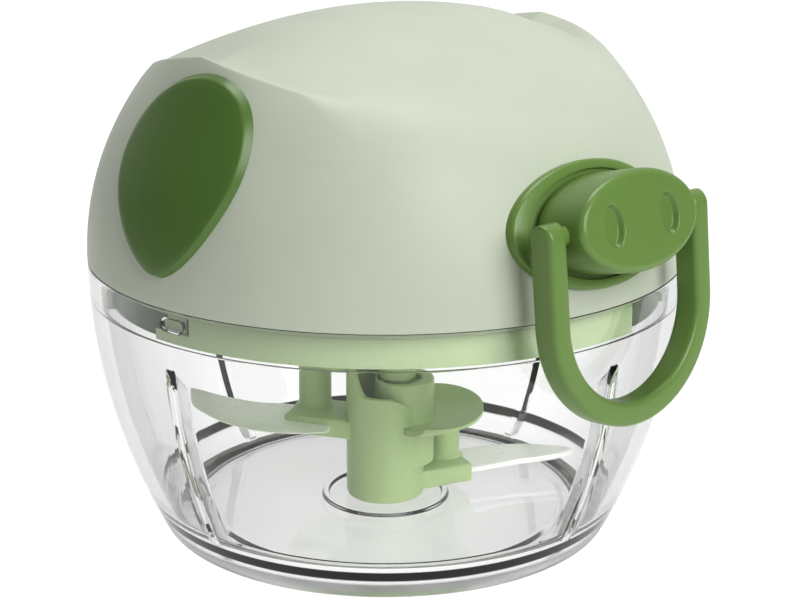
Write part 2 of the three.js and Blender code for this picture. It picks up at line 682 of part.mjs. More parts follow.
function driveShaft() {
  const shaft = solidOf(turned([
    [0, SHAFT_END_Z],
    [SHAFT_R - FIT, SHAFT_END_Z],
    [SHAFT_R, SHAFT_END_Z + FIT],
    [SHAFT_R, RATCHET_Z],
    [0, RATCHET_Z],
  ], TINY_ROUND_STEPS));
  const peg = offAxis(disc(PEG_R, PEG_END_Z, SHAFT_END_Z + PEG_R, TINY_ROUND_STEPS), PEG_PLACE);
  const hex = offAxis(disc(HEX_R, HEX_BOTTOM_Z, PEG_END_Z + OVERRUN, HEX_SIDE_COUNT), PEG_PLACE);
  const teeth = new THREE.Shape();
  for (let i = 0; i < RATCHET_TOOTH_COUNT; i += 1) {
    const here = (2 * Math.PI * i) / RATCHET_TOOTH_COUNT;
    const next = (2 * Math.PI * (i + 1)) / RATCHET_TOOTH_COUNT;
    const root = RATCHET_R - RATCHET_TOOTH;
    if (i === 0) teeth.moveTo(root * Math.cos(here), root * Math.sin(here));
    else teeth.lineTo(root * Math.cos(here), root * Math.sin(here));
    teeth.lineTo(RATCHET_R * Math.cos(next), RATCHET_R * Math.sin(next));
  }
  return join(shaft, peg, hex, solidOf(prism(teeth, RATCHET_Z, RATCHET_Z + RATCHET_T)));
}

// Lid group

function earAngle(azimuth) {
  const half = FULL_CIRCLE / 2;
  const wrapped = Math.abs(THREE.MathUtils.euclideanModulo(azimuth + half, FULL_CIRCLE) - half);
  return Math.abs(FULL_CIRCLE / 4 - wrapped);
}

function lidRadius(z, azimuth) {
  const flank = RIM_R * Math.sqrt(Math.max(0, 1 - ((z - SEAM_Z) / LID_RISE) ** 2));
  const over = Math.max(0, z - EAR_FLARE_START_Z) / EAR_FLARE_H;
  const ear = 1 - ease(earAngle(azimuth), FLARE_INNER_ANGLE, FLARE_OUTER_ANGLE);
  const rise = Math.max(0, z - SEAM_Z) / FRONT_FLAT_H;
  const front = 1 - ease(FULL_CIRCLE / 4 - earAngle(azimuth), 0, FRONT_FLAT_ANGLE);
  return flank + EAR_FLARE * over ** EAR_FLARE_POWER * ear - FRONT_FLAT * rise ** FRONT_FLAT_POWER * front;
}

// Height of the lid's edge, lowest in front and behind and highest at the ears.
function edgeHeight(azimuth) {
  const away = earAngle(azimuth) / (FULL_CIRCLE / 4);
  const climb = 1 - mix(ease(away, 0, 1), away, EDGE_STRAIGHT_SHARE);
  return SEAM_Z + mix(EDGE_FRONT_RISE, EDGE_SIDE_RISE, climb);
}

// Distance along the line of pull at which it leaves the lid's round flank in front.
function lidReach() {
  let low = 0;
  let high = RIM_R + LID_RISE;
  for (let i = 0; i < HALVING_COUNT; i += 1) {
    const middle = (low + high) / 2;
    const z = PULL_LINE_Z + middle * Math.sin(rad(PULL_ANGLE));
    if (middle * Math.cos(rad(PULL_ANGLE)) < lidRadius(z, 0)) low = middle;
    else high = middle;
  }
  return low;
}

function domeHeight(r, azimuth) {
  const x = (r * Math.sin(rad(azimuth))) / DOME_R;
  const y = (r * Math.cos(rad(azimuth))) / DOME_R;
  return DOME_TOP_Z - DOME_SIDE_DROP * x * x - DOME_FRONT_DROP * y * y;
}

// Height at which the dome, without its raised edge, would meet the flank.
function domeMeetsFlank(azimuth, grow) {
  let low = SEAM_Z;
  let high = SEAM_Z + LID_RISE;
  for (let i = 0; i < HALVING_COUNT; i += 1) {
    const middle = (low + high) / 2;
    if (domeHeight(lidRadius(middle, azimuth) + grow, azimuth) + grow > middle) low = middle;
    else high = middle;
  }
  return low;
}

// The lid's outside, grown by a value. Without its raised edge the dome runs straight to the flank.
function lidSolid(grow, raised = true, bottom = SEAM_Z) {
  return solidOf(swept((azimuth) => {
    const ear = raised ? 1 - ease(earAngle(azimuth), EAR_INNER_ANGLE, EAR_OUTER_ANGLE) : 0;
    const edgeZ = raised ? edgeHeight(azimuth) + grow : domeMeetsFlank(azimuth, grow);
    const edgeR = lidRadius(edgeZ, azimuth) + grow;
    const lip = (edgeZ - grow - domeHeight(edgeR, azimuth)) * (1 - EAR_STEP_SHARE * ear);
    const profile = [[0, bottom], [lidRadius(SEAM_Z, azimuth) + grow, bottom]];
    for (let i = 0; i <= CURVE_STEPS; i += 1) {
      const z = mix(SEAM_Z, edgeZ - EDGE_DROP, i / CURVE_STEPS);
      if (i > 0 || bottom < SEAM_Z) profile.push([lidRadius(z, azimuth) + grow, z]);
    }
    profile.push([edgeR - EDGE_W / 2, edgeZ]);
    const footR = edgeR - EDGE_W - EAR_SLOPE_W * ear;
    for (let i = 0; i < DOME_STEPS; i += 1) {
      const r = footR * (1 - i / DOME_STEPS);
      const lift = lip * (1 - ease(edgeR - r, 0, EDGE_BLEND_W));
      profile.push([r, domeHeight(r, azimuth) + lift + grow]);
    }
    profile.push([0, domeHeight(0, azimuth) + grow]);
    return profile;
  }, LID_ROUND_STEPS));
}

// The inlays' outline, cut out along X. Both lean towards the front of the lid.
function inlayPrism(side, grow) {
  const shape = new THREE.Shape();
  const middle = -side * INLAY_AHEAD;
  const tip = middle - side * INLAY_LEAN;
  const half = INLAY_HALF_W + grow;
  const bottom = INLAY_BOTTOM_Z - grow;
  const top = INLAY_TOP_Z + grow;
  const lower = INLAY_BELLY_Z - INLAY_LOWER_BOW;
  const upper = INLAY_BELLY_Z + INLAY_UPPER_BOW;
  shape.moveTo(tip, bottom);
  shape.bezierCurveTo(tip + INLAY_TIP_W, bottom, middle + half, lower, middle + half, INLAY_BELLY_Z);
  shape.bezierCurveTo(middle + half, upper, tip + INLAY_CROWN_W, top, tip, top);
  shape.bezierCurveTo(tip - INLAY_CROWN_W, top, middle - half, upper, middle - half, INLAY_BELLY_Z);
  shape.bezierCurveTo(middle - half, lower, tip - INLAY_TIP_W, bottom, tip, bottom);
  const nearest = lidRadius(INLAY_TOP_Z, FULL_CIRCLE / 4) - INLAY_BACK;
  const geometry = prism(shape, nearest, RIM_R + OVERRUN);
  // The outline's x becomes Y and its y becomes Z, and the depth runs out along X.
  const turn = new THREE.Matrix4().makeBasis(
    new THREE.Vector3(0, side, 0), new THREE.Vector3(0, 0, 1), new THREE.Vector3(side, 0, 0));
  return solidOf(geometry.applyMatrix4(turn));
}

const pullFrame = new THREE.Matrix4()
  .makeTranslation(0, 0, PULL_LINE_Z)
  .multiply(new THREE.Matrix4().makeRotationX(rad(90 - PULL_ANGLE)));

function alongPull(geometry) {
  return solidOf(geometry.applyMatrix4(pullFrame));
}

function earInlay(side) {
  const outside = lidSolid(INLAY_PROUD);
  const seat = lidSolid(-INLAY_SEAT);
  return inlayPrism(side, 0).intersect(outside).subtract(seat);
}

function collarSolid() {
  const plate = alongPull(prism(ovalShape(COLLAR_HALF_W, COLLAR_HALF_H), SNOUT_REAR, SNOUT_FACE))
    .intersect(lidSolid(COLLAR_PROUD))
    .subtract(lidSolid(-COLLAR_SEAT));
  const spigot = alongPull(prism(ovalShape(SPIGOT_HALF_W, SPIGOT_HALF_H), SPIGOT_INNER, SNOUT_FACE))
    .intersect(lidSolid(0));
  const bore = alongPull(disc(EYELET_R + FIT, SPIGOT_INNER - OVERRUN, SNOUT_FACE, TINY_ROUND_STEPS));
  const counterbore = alongPull(disc(EYELET_FLANGE_R + FIT, EYELET_FACE - EYELET_FLANGE_T - FIT,
    SNOUT_FACE));
  return cut(join(plate, spigot), bore, counterbore);
}

function cordEyelet() {
  return turned([
    [EYELET_HOLE_R, EYELET_INNER],
    [EYELET_R, EYELET_INNER],
    [EYELET_R, EYELET_FACE - EYELET_FLANGE_T],
    [EYELET_FLANGE_R, EYELET_FACE - EYELET_FLANGE_T],
    [EYELET_FLANGE_R, EYELET_FACE],
    [EYELET_HOLE_R, EYELET_FACE],
    [EYELET_HOLE_R, EYELET_INNER],
  ], TINY_ROUND_STEPS);
}

function onRing(count, first, distance, make) {
  const made = [];
  for (let i = 0; i < count; i += 1) {
    const place = onAzimuth(distance, nthAngle(first, i, count), 0);
    made.push(make(place, i));
  }
  return made;
}

function lidCover() {
  const shell = lidSolid(0).subtract(lidSolid(-COVER_WALL, false, SEAM_Z - OVERRUN));
  const keepIn = lidSolid(-COVER_WALL / 2);
  const bosses = onRing(BOSS_COUNT, BOSS_ANGLE, BOSS_PLACE, (place) => (
    solidOf(disc(BOSS_R, BOSS_BOTTOM_Z, DOME_TOP_Z, TINY_ROUND_STEPS).translate(place.x, place.y, 0))
      .intersect(keepIn)));
  const holes = onRing(BOSS_COUNT, BOSS_ANGLE, BOSS_PLACE, (place) => (
    solidOf(disc(SCREW_R + FIT, BOSS_BOTTOM_Z - OVERRUN, BASE_FLOOR_Z + SCREW_L + FIT, TINY_ROUND_STEPS)
      .translate(place.x, place.y, 0))));
  const pocketFloor = lidSolid(-INLAY_SEAT - FIT);
  const pockets = [-1, 1].map((side) => inlayPrism(side, FIT).subtract(pocketFloor));
  const collarPocket = alongPull(prism(ovalShape(COLLAR_HALF_W + FIT, COLLAR_HALF_H + FIT),
    SNOUT_REAR, SNOUT_FACE)).subtract(lidSolid(-COLLAR_SEAT - FIT));
  const spigotHole = alongPull(prism(ovalShape(SPIGOT_HALF_W + FIT, SPIGOT_HALF_H + FIT),
    SPIGOT_INNER - OVERRUN, SNOUT_FACE));
  return cut(join(shell, ...bosses), ...holes, ...pockets, collarPocket, spigotHole);
}

function lidBase() {
  const inner = SKIRT_R - SKIRT_T;
  const bore = SHAFT_R + FIT;
  const body = solidOf(turned([
    [bore, BEARING_BOTTOM_Z],
    [BEARING_R, BEARING_BOTTOM_Z],
    [BEARING_R, BASE_FLOOR_Z],
    [inner, BASE_FLOOR_Z],
    [inner, SKIRT_BOTTOM_Z],
    [SKIRT_R, SKIRT_BOTTOM_Z],
    [SKIRT_R, SEAL_GROOVE_Z],
    [SKIRT_R - SEAL_GROOVE_DEPTH, SEAL_GROOVE_Z],
    [SKIRT_R - SEAL_GROOVE_DEPTH, BASE_FLOOR_Z],
    [BASE_R_TOP, BASE_FLOOR_Z],
    [BASE_R_TOP, BASE_TOP_Z],
    [bore, BASE_TOP_Z],
    [bore, BEARING_BOTTOM_Z],
  ], BIG_ROUND_STEPS));
  const floorOfSlot = SKIRT_R - SLOT_DEPTH;
  const slotTop = LUG_Z + LUG_H + FIT;
  const slots = [];
  for (let i = 0; i < LUG_COUNT; i += 1) {
    const azimuth = nthAngle(LUG_ANGLE, i, LUG_COUNT);
    const end = azimuth + LUG_HALF_ANGLE + SLOT_PLAY_ANGLE;
    const entryEnd = azimuth - LUG_HALF_ANGLE - HOLD_ANGLE;
    const entryStart = azimuth - UNLOCK_ANGLE - LUG_HALF_ANGLE - ENTRY_PLAY_ANGLE;
    slots.push(solidOf(sector(floorOfSlot, RIM_R, LUG_Z - FIT, slotTop, entryStart, end)));
    slots.push(solidOf(sector(floorOfSlot, RIM_R, SKIRT_BOTTOM_Z - OVERRUN, slotTop,
      entryStart, entryEnd)));
  }
  const coverHoles = onRing(BOSS_COUNT, BOSS_ANGLE, BOSS_PLACE, (place) => (
    solidOf(disc(SCREW_R + FIT, BASE_FLOOR_Z - OVERRUN, BASE_TOP_Z + OVERRUN, TINY_ROUND_STEPS)
      .translate(place.x, place.y, 0))));
  const bridgeHoles = onRing(LEG_COUNT, LEG_ANGLE, LEG_PLACE, (place) => (
    solidOf(disc(SCREW_R + FIT, BASE_FLOOR_Z - OVERRUN, BASE_TOP_Z + OVERRUN, TINY_ROUND_STEPS)
      .translate(place.x, place.y, 0))));
  return cut(body, ...slots, ...coverHoles, ...bridgeHoles);
}

function sealRing() {
  const inner = SKIRT_R - SEAL_GROOVE_DEPTH + FIT;
  const outer = bowlRadius(SEAL_GROOVE_Z) - RIM_WALL - FIT;
  const bottom = SEAL_GROOVE_Z + FIT;
  const top = BASE_FLOOR_Z - FIT;
  const middle = (bottom + top) / 2;
  return turned([
    [inner, bottom],
    [mix(inner, outer, SEAL_SHOULDER_SHARE), bottom],
    [outer, middle],
    [mix(inner, outer, SEAL_SHOULDER_SHARE), top],
    [inner, top],
    [inner, bottom],
  ], BIG_ROUND_STEPS);
}

// A screw along +Z with its head below, at the origin.
function screw(length) {
  const body = solidOf(turned([
    [0, -SCREW_HEAD_T],
    [SCREW_HEAD_R * SCREW_CROWN_SHARE, -SCREW_HEAD_T],
    [SCREW_HEAD_R, -SCREW_HEAD_T / 2],
    [SCREW_HEAD_R, 0],
    [SCREW_R, 0],
    [SCREW_R, length - SCREW_R],
    [0, length],
  ], TINY_ROUND_STEPS));
  const sides = [[SCREW_SLOT_W, SCREW_CROSS_W], [SCREW_CROSS_W, SCREW_SLOT_W]];
  const slots = sides.map(([width, depth]) => (
    solidOf(box(width, depth, -SCREW_HEAD_T - OVERRUN, SCREW_SLOT_DEPTH - SCREW_HEAD_T))));
  return geometryOf(cut(body, ...slots));
}

// Reel group

function cordReel() {
  const core = REEL_CORE_R - REEL_CORE_WALL;
  const bore = AXLE_R + FIT;
  return turned([
    [bore, REEL_Z],
    [REEL_FLANGE_R, REEL_Z],
    [REEL_FLANGE_R, REEL_Z + REEL_FLANGE_T],
    [REEL_CORE_R, REEL_Z + REEL_FLANGE_T],
    [REEL_CORE_R, REEL_TOP_Z - REEL_FLANGE_T],
    [REEL_FLANGE_R, REEL_TOP_Z - REEL_FLANGE_T],
    [REEL_FLANGE_R, REEL_TOP_Z],
    [core, REEL_TOP_Z],
    [core, SPRING_FLOOR_Z - FIT],
    [bore, SPRING_FLOOR_Z - FIT],
    [bore, REEL_Z],
  ], BIG_ROUND_STEPS);
}

// The clock spring, a flat strip wound as a spiral.
function spiralSpring() {
  const outer = REEL_CORE_R - REEL_CORE_WALL - FIT;
  const steps = SPRING_TURN_COUNT * SPRING_STEPS_PER_TURN;
  const at = (z) => (u, v) => {
    const angle = 2 * Math.PI * SPRING_TURN_COUNT * u;
    const r = mix(SPRING_INNER_R, outer - SPRING_T, u) + SPRING_T * v;
    return new THREE.Vector3(r * Math.cos(angle), r * Math.sin(angle), z);
  };
  const top = at(REEL_TOP_Z - FIT);
  const bottom = at(SPRING_FLOOR_Z);
  return slab(steps, 1, (u, v) => top(1 - u, v), (u, v) => bottom(1 - u, v));
}

function pawl(side) {
  const z = RATCHET_Z;
  const reach = RATCHET_R + FIT;
  const shape = new THREE.Shape();
  shape.moveTo(reach, -PAWL_L / 2);
  shape.lineTo(reach + PAWL_W, -PAWL_L / 2);
  shape.lineTo(reach + PAWL_W, PAWL_L / 2);
  shape.lineTo(reach + PAWL_W / 2, PAWL_L / 2);
  const arm = solidOf(prism(shape, z, z + PAWL_T));
  return geometryOf(arm).rotateZ(side > 0 ? 0 : Math.PI);
}

function reelBridge() {
  const top = BRIDGE_Z + BRIDGE_T;
  const plate = solidOf(disc(BRIDGE_R, BRIDGE_Z, top, SMALL_ROUND_STEPS));
  const legs = onRing(LEG_COUNT, LEG_ANGLE, LEG_PLACE, (place) => (
    solidOf(disc(LEG_R, BASE_TOP_Z + FIT, top, TINY_ROUND_STEPS).translate(place.x, place.y, 0))));
  const arms = onRing(LEG_COUNT, LEG_ANGLE, LEG_PLACE / 2, (place, i) => {
    const turn = rad(nthAngle(LEG_ANGLE, i, LEG_COUNT));
    return solidOf(box(BRIDGE_ARM_W, LEG_PLACE, BRIDGE_Z, top).rotateZ(turn)
      .translate(place.x, place.y, 0));
  });
  const holes = onRing(LEG_COUNT, LEG_ANGLE, LEG_PLACE, (place) => (
    solidOf(disc(SCREW_R + FIT, BASE_TOP_Z, BASE_TOP_Z + SCREW_L, TINY_ROUND_STEPS)
      .translate(place.x, place.y, 0))));
  const axleHole = solidOf(disc(AXLE_R + FIT, BRIDGE_Z - OVERRUN, top - FIT, TINY_ROUND_STEPS));
  return cut(join(plate, ...legs, ...arms), ...holes, axleHole);
}

function reelAxle() {
  return disc(AXLE_R, REEL_Z + FIT, BRIDGE_Z + BRIDGE_T - FIT - FIT, TINY_ROUND_STEPS);
}

// Snout group, built along the line of pull

function snoutParts() {
  const clearOfCollar = lidSolid(COLLAR_PROUD + FIT);
  const outer = alongPull(prism(ovalShape(SNOUT_HALF_W, SNOUT_HALF_H), SNOUT_REAR, SNOUT_FACE, SNOUT_ROUND))
    .subtract(clearOfCollar);
  const inside = prism(ovalShape(SNOUT_HALF_W - SNOUT_WALL, SNOUT_HALF_H - SNOUT_WALL),
    SNOUT_REAR - OVERRUN, SNOUT_FACE - SNOUT_FRONT_WALL);
  const nostrils = [-1, 1].map((side) => alongPull(
    prism(ovalShape(NOSTRIL_HALF_W, NOSTRIL_HALF_H), SNOUT_FACE - NOSTRIL_DEPTH, SNOUT_FACE + OVERRUN)
      .translate(side * NOSTRIL_PLACE, 0, 0)));
  const pivotHole = alongPull(disc(STUB_R + FIT, -RIM_R, RIM_R, TINY_ROUND_STEPS).rotateY(Math.PI / 2)
    .translate(0, 0, RING_PIVOT));
  const shell = cut(outer, alongPull(inside), ...nostrils, pivotHole);
  const plug = alongPull(prism(
    ovalShape(SNOUT_HALF_W - SNOUT_WALL - FIT, SNOUT_HALF_H - SNOUT_WALL - FIT),
    SNOUT_REAR, PLUG_FRONT)).subtract(clearOfCollar);
  const cordHole = alongPull(disc(CORD_D / 2 + FIT, SNOUT_REAR - OVERRUN, SNOUT_FACE, TINY_ROUND_STEPS));
  return { shell, plug: cut(plug, cordHole) };
}

function cordKnot() {
  const bottom = PLUG_FRONT + FIT;
  const profile = [[0, bottom]];
  for (let i = 1; i < CURVE_STEPS; i += 1) {
    const angle = (Math.PI * i) / CURVE_STEPS;
    profile.push([KNOT_R * Math.sin(angle), bottom + (KNOT_H * (1 - Math.cos(angle))) / 2]);
  }
  profile.push([0, bottom + KNOT_H]);
  return turned(profile, TINY_ROUND_STEPS);
}

// The cord runs from the winding, through the eyelet and the plug, to the knot.
function cordLead() {
  const eyelet = new THREE.Vector3(0, 0, EYELET_INNER).applyMatrix4(pullFrame);
  const face = new THREE.Vector3(0, 0, PLUG_FRONT).applyMatrix4(pullFrame);
  const turnPoint = new THREE.Vector3(0, 0, EYELET_INNER - CORD_D).applyMatrix4(pullFrame);
  const leaveR = REEL_CORE_R + WINDING_T + 2 * FIT + CORD_D / 2;
  const leaveAngle = THREE.MathUtils.radToDeg(Math.acos(leaveR / Math.abs(turnPoint.y)));
  const start = onAzimuth(leaveR, -leaveAngle, reelMiddle());
  const route = new THREE.CurvePath();
  route.add(new THREE.LineCurve3(start, turnPoint));
  route.add(new THREE.QuadraticBezierCurve3(turnPoint, eyelet.clone().lerp(turnPoint, 0.5), eyelet));
  route.add(new THREE.LineCurve3(eyelet, face));
  const section = new THREE.Shape().absarc(0, 0, CORD_D / 2, 0, 2 * Math.PI, false);
  return new THREE.ExtrudeGeometry(section, {
    steps: ROUTE_STEPS, bevelEnabled: false, extrudePath: route, curveSegments: 4,
  });
}

function reelMiddle() {
  return (REEL_Z + REEL_TOP_Z) / 2;
}

function cordWinding() {
  const inner = REEL_CORE_R + FIT;
  const bottom = REEL_Z + REEL_FLANGE_T + FIT;
  const top = REEL_TOP_Z - REEL_FLANGE_T - FIT;
  return ring(inner, inner + WINDING_T, bottom, top, BIG_ROUND_STEPS / 2);
}

// Ring group, built flat round its pivot line with the bow hanging down

function pullRing() {
  const shape = new THREE.Shape();
  const outer = RING_HALF_W;
  const inner = RING_HALF_W - RING_BAR_W;
  const top = RING_BAR_D / 2;
  shape.moveTo(-outer, top);
  shape.lineTo(-outer, -RING_STRAIGHT);
  shape.absarc(0, -RING_STRAIGHT, outer, Math.PI, 2 * Math.PI, false);
  shape.lineTo(outer, top);
  shape.lineTo(inner, top);
  shape.lineTo(inner, -RING_STRAIGHT);
  shape.absellipse(0, -RING_STRAIGHT, inner, outer - RING_BOW_W, 0, -Math.PI, true, 0);
  shape.lineTo(-inner, top);
  const flat = prism(shape, -RING_BAR_D / 2, RING_BAR_D / 2, RING_ROUND).rotateX(Math.PI / 2);
  // Seen from the side the arms' ends are round.
  const rounding = disc(RING_BAR_D / 2, -outer - OVERRUN, outer + OVERRUN, TINY_ROUND_STEPS);
  const ends = solidOf(rounding.rotateY(Math.PI / 2));
  const below = solidOf(box(2 * outer + 2 * OVERRUN, 2 * RING_BAR_D, -RING_STRAIGHT - outer - OVERRUN, 0));
  const stubs = [-1, 1].map((side) => solidOf(
    disc(STUB_R, -STUB_REACH / 2, STUB_REACH / 2 + RING_BAR_W / 2, TINY_ROUND_STEPS)
      .rotateY((side * Math.PI) / 2)
      .translate(side * (inner - STUB_REACH / 2), 0, 0)));
  return join(solidOf(flat).intersect(join(ends, below)), ...stubs);
}

// Assembly

const chopper = new THREE.Group();

const bowl = new THREE.Group();
bowl.add(piece('bowl', geometryOf(bowlSolid()), clear));
bowl.add(piece('pivot_pin', pivotPin(), steel));

const cutter = new THREE.Group();
cutter.add(piece('cutter_hub', geometryOf(cutterHub()), pale));
for (const place of bladePlaces) {
  const mesh = piece(place.name, blade(place), steel);
  mesh.rotation.z = rad(place.turn);
  mesh.position.z = place.z + ARM_T / 2;
  cutter.add(mesh);
}

const drive = new THREE.Group();
drive.add(piece('drive_shaft', geometryOf(driveShaft()), pale));

const lid = new THREE.Group();
lid.add(piece('lid_cover', geometryOf(lidCover()), sage));
lid.add(piece('lid_base', geometryOf(lidBase()), pale));
lid.add(piece('seal_ring', sealRing(), silicone));
lid.add(piece('ear_inlay_left', geometryOf(earInlay(-1)), moss));
lid.add(piece('ear_inlay_right', geometryOf(earInlay(1)), moss));
lid.add(piece('cord_collar', geometryOf(collarSolid()), leaf));
lid.add(piece('reel_bridge', geometryOf(reelBridge()), white));
lid.add(piece('reel_axle', reelAxle(), steel));
onRing(BOSS_COUNT, BOSS_ANGLE, BOSS_PLACE, (place, i) => {
  const mesh = piece(`cover_screw_${i + 1}`, screw(SCREW_L), steel);
  mesh.position.set(place.x, place.y, BASE_FLOOR_Z - FIT);
  lid.add(mesh);
});
onRing(LEG_COUNT, LEG_ANGLE, LEG_PLACE, (place, i) => {
  const mesh = piece(`bridge_screw_${i + 1}`, screw(SCREW_L), steel);
  mesh.position.set(place.x, place.y, BASE_FLOOR_Z - FIT);
  lid.add(mesh);
});

const reel = new THREE.Group();
reel.add(piece('cord_reel', cordReel(), white));
reel.add(piece('cord_winding', cordWinding(), cordWhite));
reel.add(piece('pawl_front', pawl(1), white));
reel.add(piece('pawl_back', pawl(-1), white));
lid.add(reel);
lid.add(piece('spiral_spring', spiralSpring(), steel));
lid.add(piece('cord_lead', cordLead(), cordWhite));

const pull = new THREE.Group();
pull.applyMatrix4(pullFrame);
const fromPull = pullFrame.clone().invert();
const { shell: snoutShell, plug: snoutPlug } = snoutParts();
pull.add(piece('snout_shell', geometryOf(snoutShell).applyMatrix4(fromPull), leaf));
pull.add(piece('snout_plug', geometryOf(snoutPlug).applyMatrix4(fromPull), white));
pull.add(piece('cord_knot', cordKnot(), cordWhite));
pull.add(piece('cord_eyelet', cordEyelet(), steel));

const pullRingMesh = piece('pull_ring', geometryOf(pullRing()), leaf);
pullRingMesh.position.set(0, 0, RING_PIVOT).applyMatrix4(pullFrame);
pullRingMesh.rotation.x = rad(-RING_ANGLE);

chopper.add(bowl, cutter, drive, lid, pull, pullRingMesh);

export default chopper;
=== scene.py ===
import math
from collections import namedtuple

import bmesh
import bpy
import numpy as np
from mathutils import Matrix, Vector


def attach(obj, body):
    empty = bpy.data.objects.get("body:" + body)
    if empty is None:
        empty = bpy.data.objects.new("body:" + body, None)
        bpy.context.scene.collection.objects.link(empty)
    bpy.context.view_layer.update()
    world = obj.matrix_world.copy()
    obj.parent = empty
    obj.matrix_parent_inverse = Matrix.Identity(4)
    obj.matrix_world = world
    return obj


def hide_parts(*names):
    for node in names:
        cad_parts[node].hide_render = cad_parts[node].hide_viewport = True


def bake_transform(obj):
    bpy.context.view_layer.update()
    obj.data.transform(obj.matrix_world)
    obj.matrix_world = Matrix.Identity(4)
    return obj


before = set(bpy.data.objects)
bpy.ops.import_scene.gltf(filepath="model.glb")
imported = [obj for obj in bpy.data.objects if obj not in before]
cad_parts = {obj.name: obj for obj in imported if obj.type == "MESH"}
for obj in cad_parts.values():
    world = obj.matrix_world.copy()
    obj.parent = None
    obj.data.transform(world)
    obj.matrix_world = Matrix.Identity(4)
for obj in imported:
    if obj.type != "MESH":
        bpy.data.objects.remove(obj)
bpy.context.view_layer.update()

# Sizes are in millimetres, in the CAD's frame: +Z up, snout along -Y, ears along X.
# An azimuth is in degrees from the front and grows towards +X.
MM = 0.001


def smooth(x, low, high):
    """A soft step from 0 at low to 1 at high."""
    t = np.clip((x - low) / (high - low), 0, 1)
    return t * t * (3 - 2 * t)


def mix(a, b, t):
    return a + (b - a) * t


# Camera, at the photograph's viewing angle

CAMERA_TURN = -42  # degrees round the object from its front
CAMERA_REACH = 270.1  # level distance from the bowl's axis
CAMERA_HEIGHT = 114.3
CAMERA_PITCH = 16.64
CAMERA_LENS = 82.3
CAMERA_SENSOR = 36
CAMERA_SHIFT = 0.01825  # the object stands a little left of the frame's middle


def make_camera():
    data = bpy.data.cameras.new("camera")
    data.lens = CAMERA_LENS
    data.sensor_width = CAMERA_SENSOR
    data.shift_x = CAMERA_SHIFT
    data.clip_start = 0.01
    data.clip_end = 20
    camera = bpy.data.objects.new("camera", data)
    bpy.context.scene.collection.objects.link(camera)
    turn = math.radians(CAMERA_TURN)
    place = Vector((math.sin(turn), -math.cos(turn), 0)) * CAMERA_REACH
    place.z = CAMERA_HEIGHT
    camera.location = place * MM
    camera.rotation_euler = (math.radians(90 - CAMERA_PITCH), 0, turn)
    bpy.context.scene.camera = camera


make_camera()


# Materials


# A material together with the name of the slot that it finishes
Look = namedtuple("Look", ["material", "slot"])


class Nodes:
    """A short way to add and join shader nodes, in a material or in the world."""

    def __init__(self, owner):
        owner.use_nodes = True
        self.owner = owner
        self.tree = owner.node_tree
        self.tree.nodes.clear()

    def add(self, kind, **values):
        node = self.tree.nodes.new(kind)
        for key, value in values.items():
            if key in node.inputs:
                node.inputs[key].default_value = value
            else:
                setattr(node, key, value)
        return node

    def join(self, source, target):
        self.tree.links.new(source, target)

    def finish(self, surface, kind="Material"):
        self.join(surface, self.add("ShaderNodeOutput" + kind).inputs["Surface"])

    def look(self, surface, slot):
        self.finish(surface)
        return Look(self.owner, slot)


def start_material(name):
    """A new material's nodes, with places on the object and a plain shader."""
    nodes = Nodes(bpy.data.materials.new(name))
    where = nodes.add("ShaderNodeTexCoord").outputs["Object"]
    return nodes, where, nodes.add("ShaderNodeBsdfPrincipled")


def ramp(nodes, source, low, high, low_value, high_value):
    """Maps a value's range from low to high on to another range."""
    node = nodes.add("ShaderNodeMapRange", clamp=True)
    sockets = ("From Min", "From Max", "To Min", "To Max")
    for socket, value in zip(sockets, (low, high, low_value, high_value)):
        node.inputs[socket].default_value = value
    nodes.join(source, node.inputs["Value"])
    return node.outputs["Result"]


def noise(nodes, where, size, detail=3.0):
    """Noise whose features are about size millimetres across."""
    node = nodes.add("ShaderNodeTexNoise", Scale=1 / (size * MM), Detail=detail)
    nodes.join(where, node.inputs["Vector"])
    return node.outputs["Fac"]


def maths(nodes, operation, a, b):
    node = nodes.add("ShaderNodeMath", operation=operation)
    nodes.join(a, node.inputs[0])
    nodes.join(b, node.inputs[1])
    return node.outputs["Value"]


def mixed(nodes, share, a, b):
    """Colour a, which turns into colour b with the share. Colour a may be a node's output."""
    node = nodes.add("ShaderNodeMix", data_type="RGBA")
    nodes.join(share, node.inputs["Factor"])
    if isinstance(a, tuple):
        node.inputs["A"].default_value = (*a, 1)
    else:
        nodes.join(a, node.inputs["A"])
    node.inputs["B"].default_value = (*b, 1)
    return node.outputs["Result"]


def relief(nodes, shader, height, depth, strength=1):
    """Gives a shader a bump that is depth millimetres deep."""
    bump = nodes.add("ShaderNodeBump", Strength=strength, Distance=depth * MM)
    nodes.join(height, bump.inputs["Height"])
    nodes.join(bump.outputs["Normal"], shader.inputs["Normal"])


def level_radius(nodes, where):
    """Distance from the upright axis."""
    level = nodes.add("ShaderNodeVectorMath", operation="MULTIPLY")
    level.inputs[1].default_value = (1, 1, 0)
    nodes.join(where, level.inputs[0])
    length = nodes.add("ShaderNodeVectorMath", operation="LENGTH")
    nodes.join(level.outputs["Vector"], length.inputs[0])
    return length.outputs["Value"]


def projected(nodes, where, direction):
    """How far a place lies along a direction."""
    node = nodes.add("ShaderNodeVectorMath", operation="DOT_PRODUCT")
    node.inputs[1].default_value = direction
    nodes.join(where, node.inputs[0])
    return node.outputs["Value"]


RECESS = (41, 41.95)  # radii between which the lid base's slots and groove lie
RECESS_FADE = 0.3
# painted shade: the dark colour laid into the lid base's slots and groove, where they lie in shadow
RECESS_PAINTED_SHADE = (0.035, 0.075, 0.014)
CLOUD_SIZE = 14
GRAIN_SIZE = 0.35
PATCH_SIZE = 6


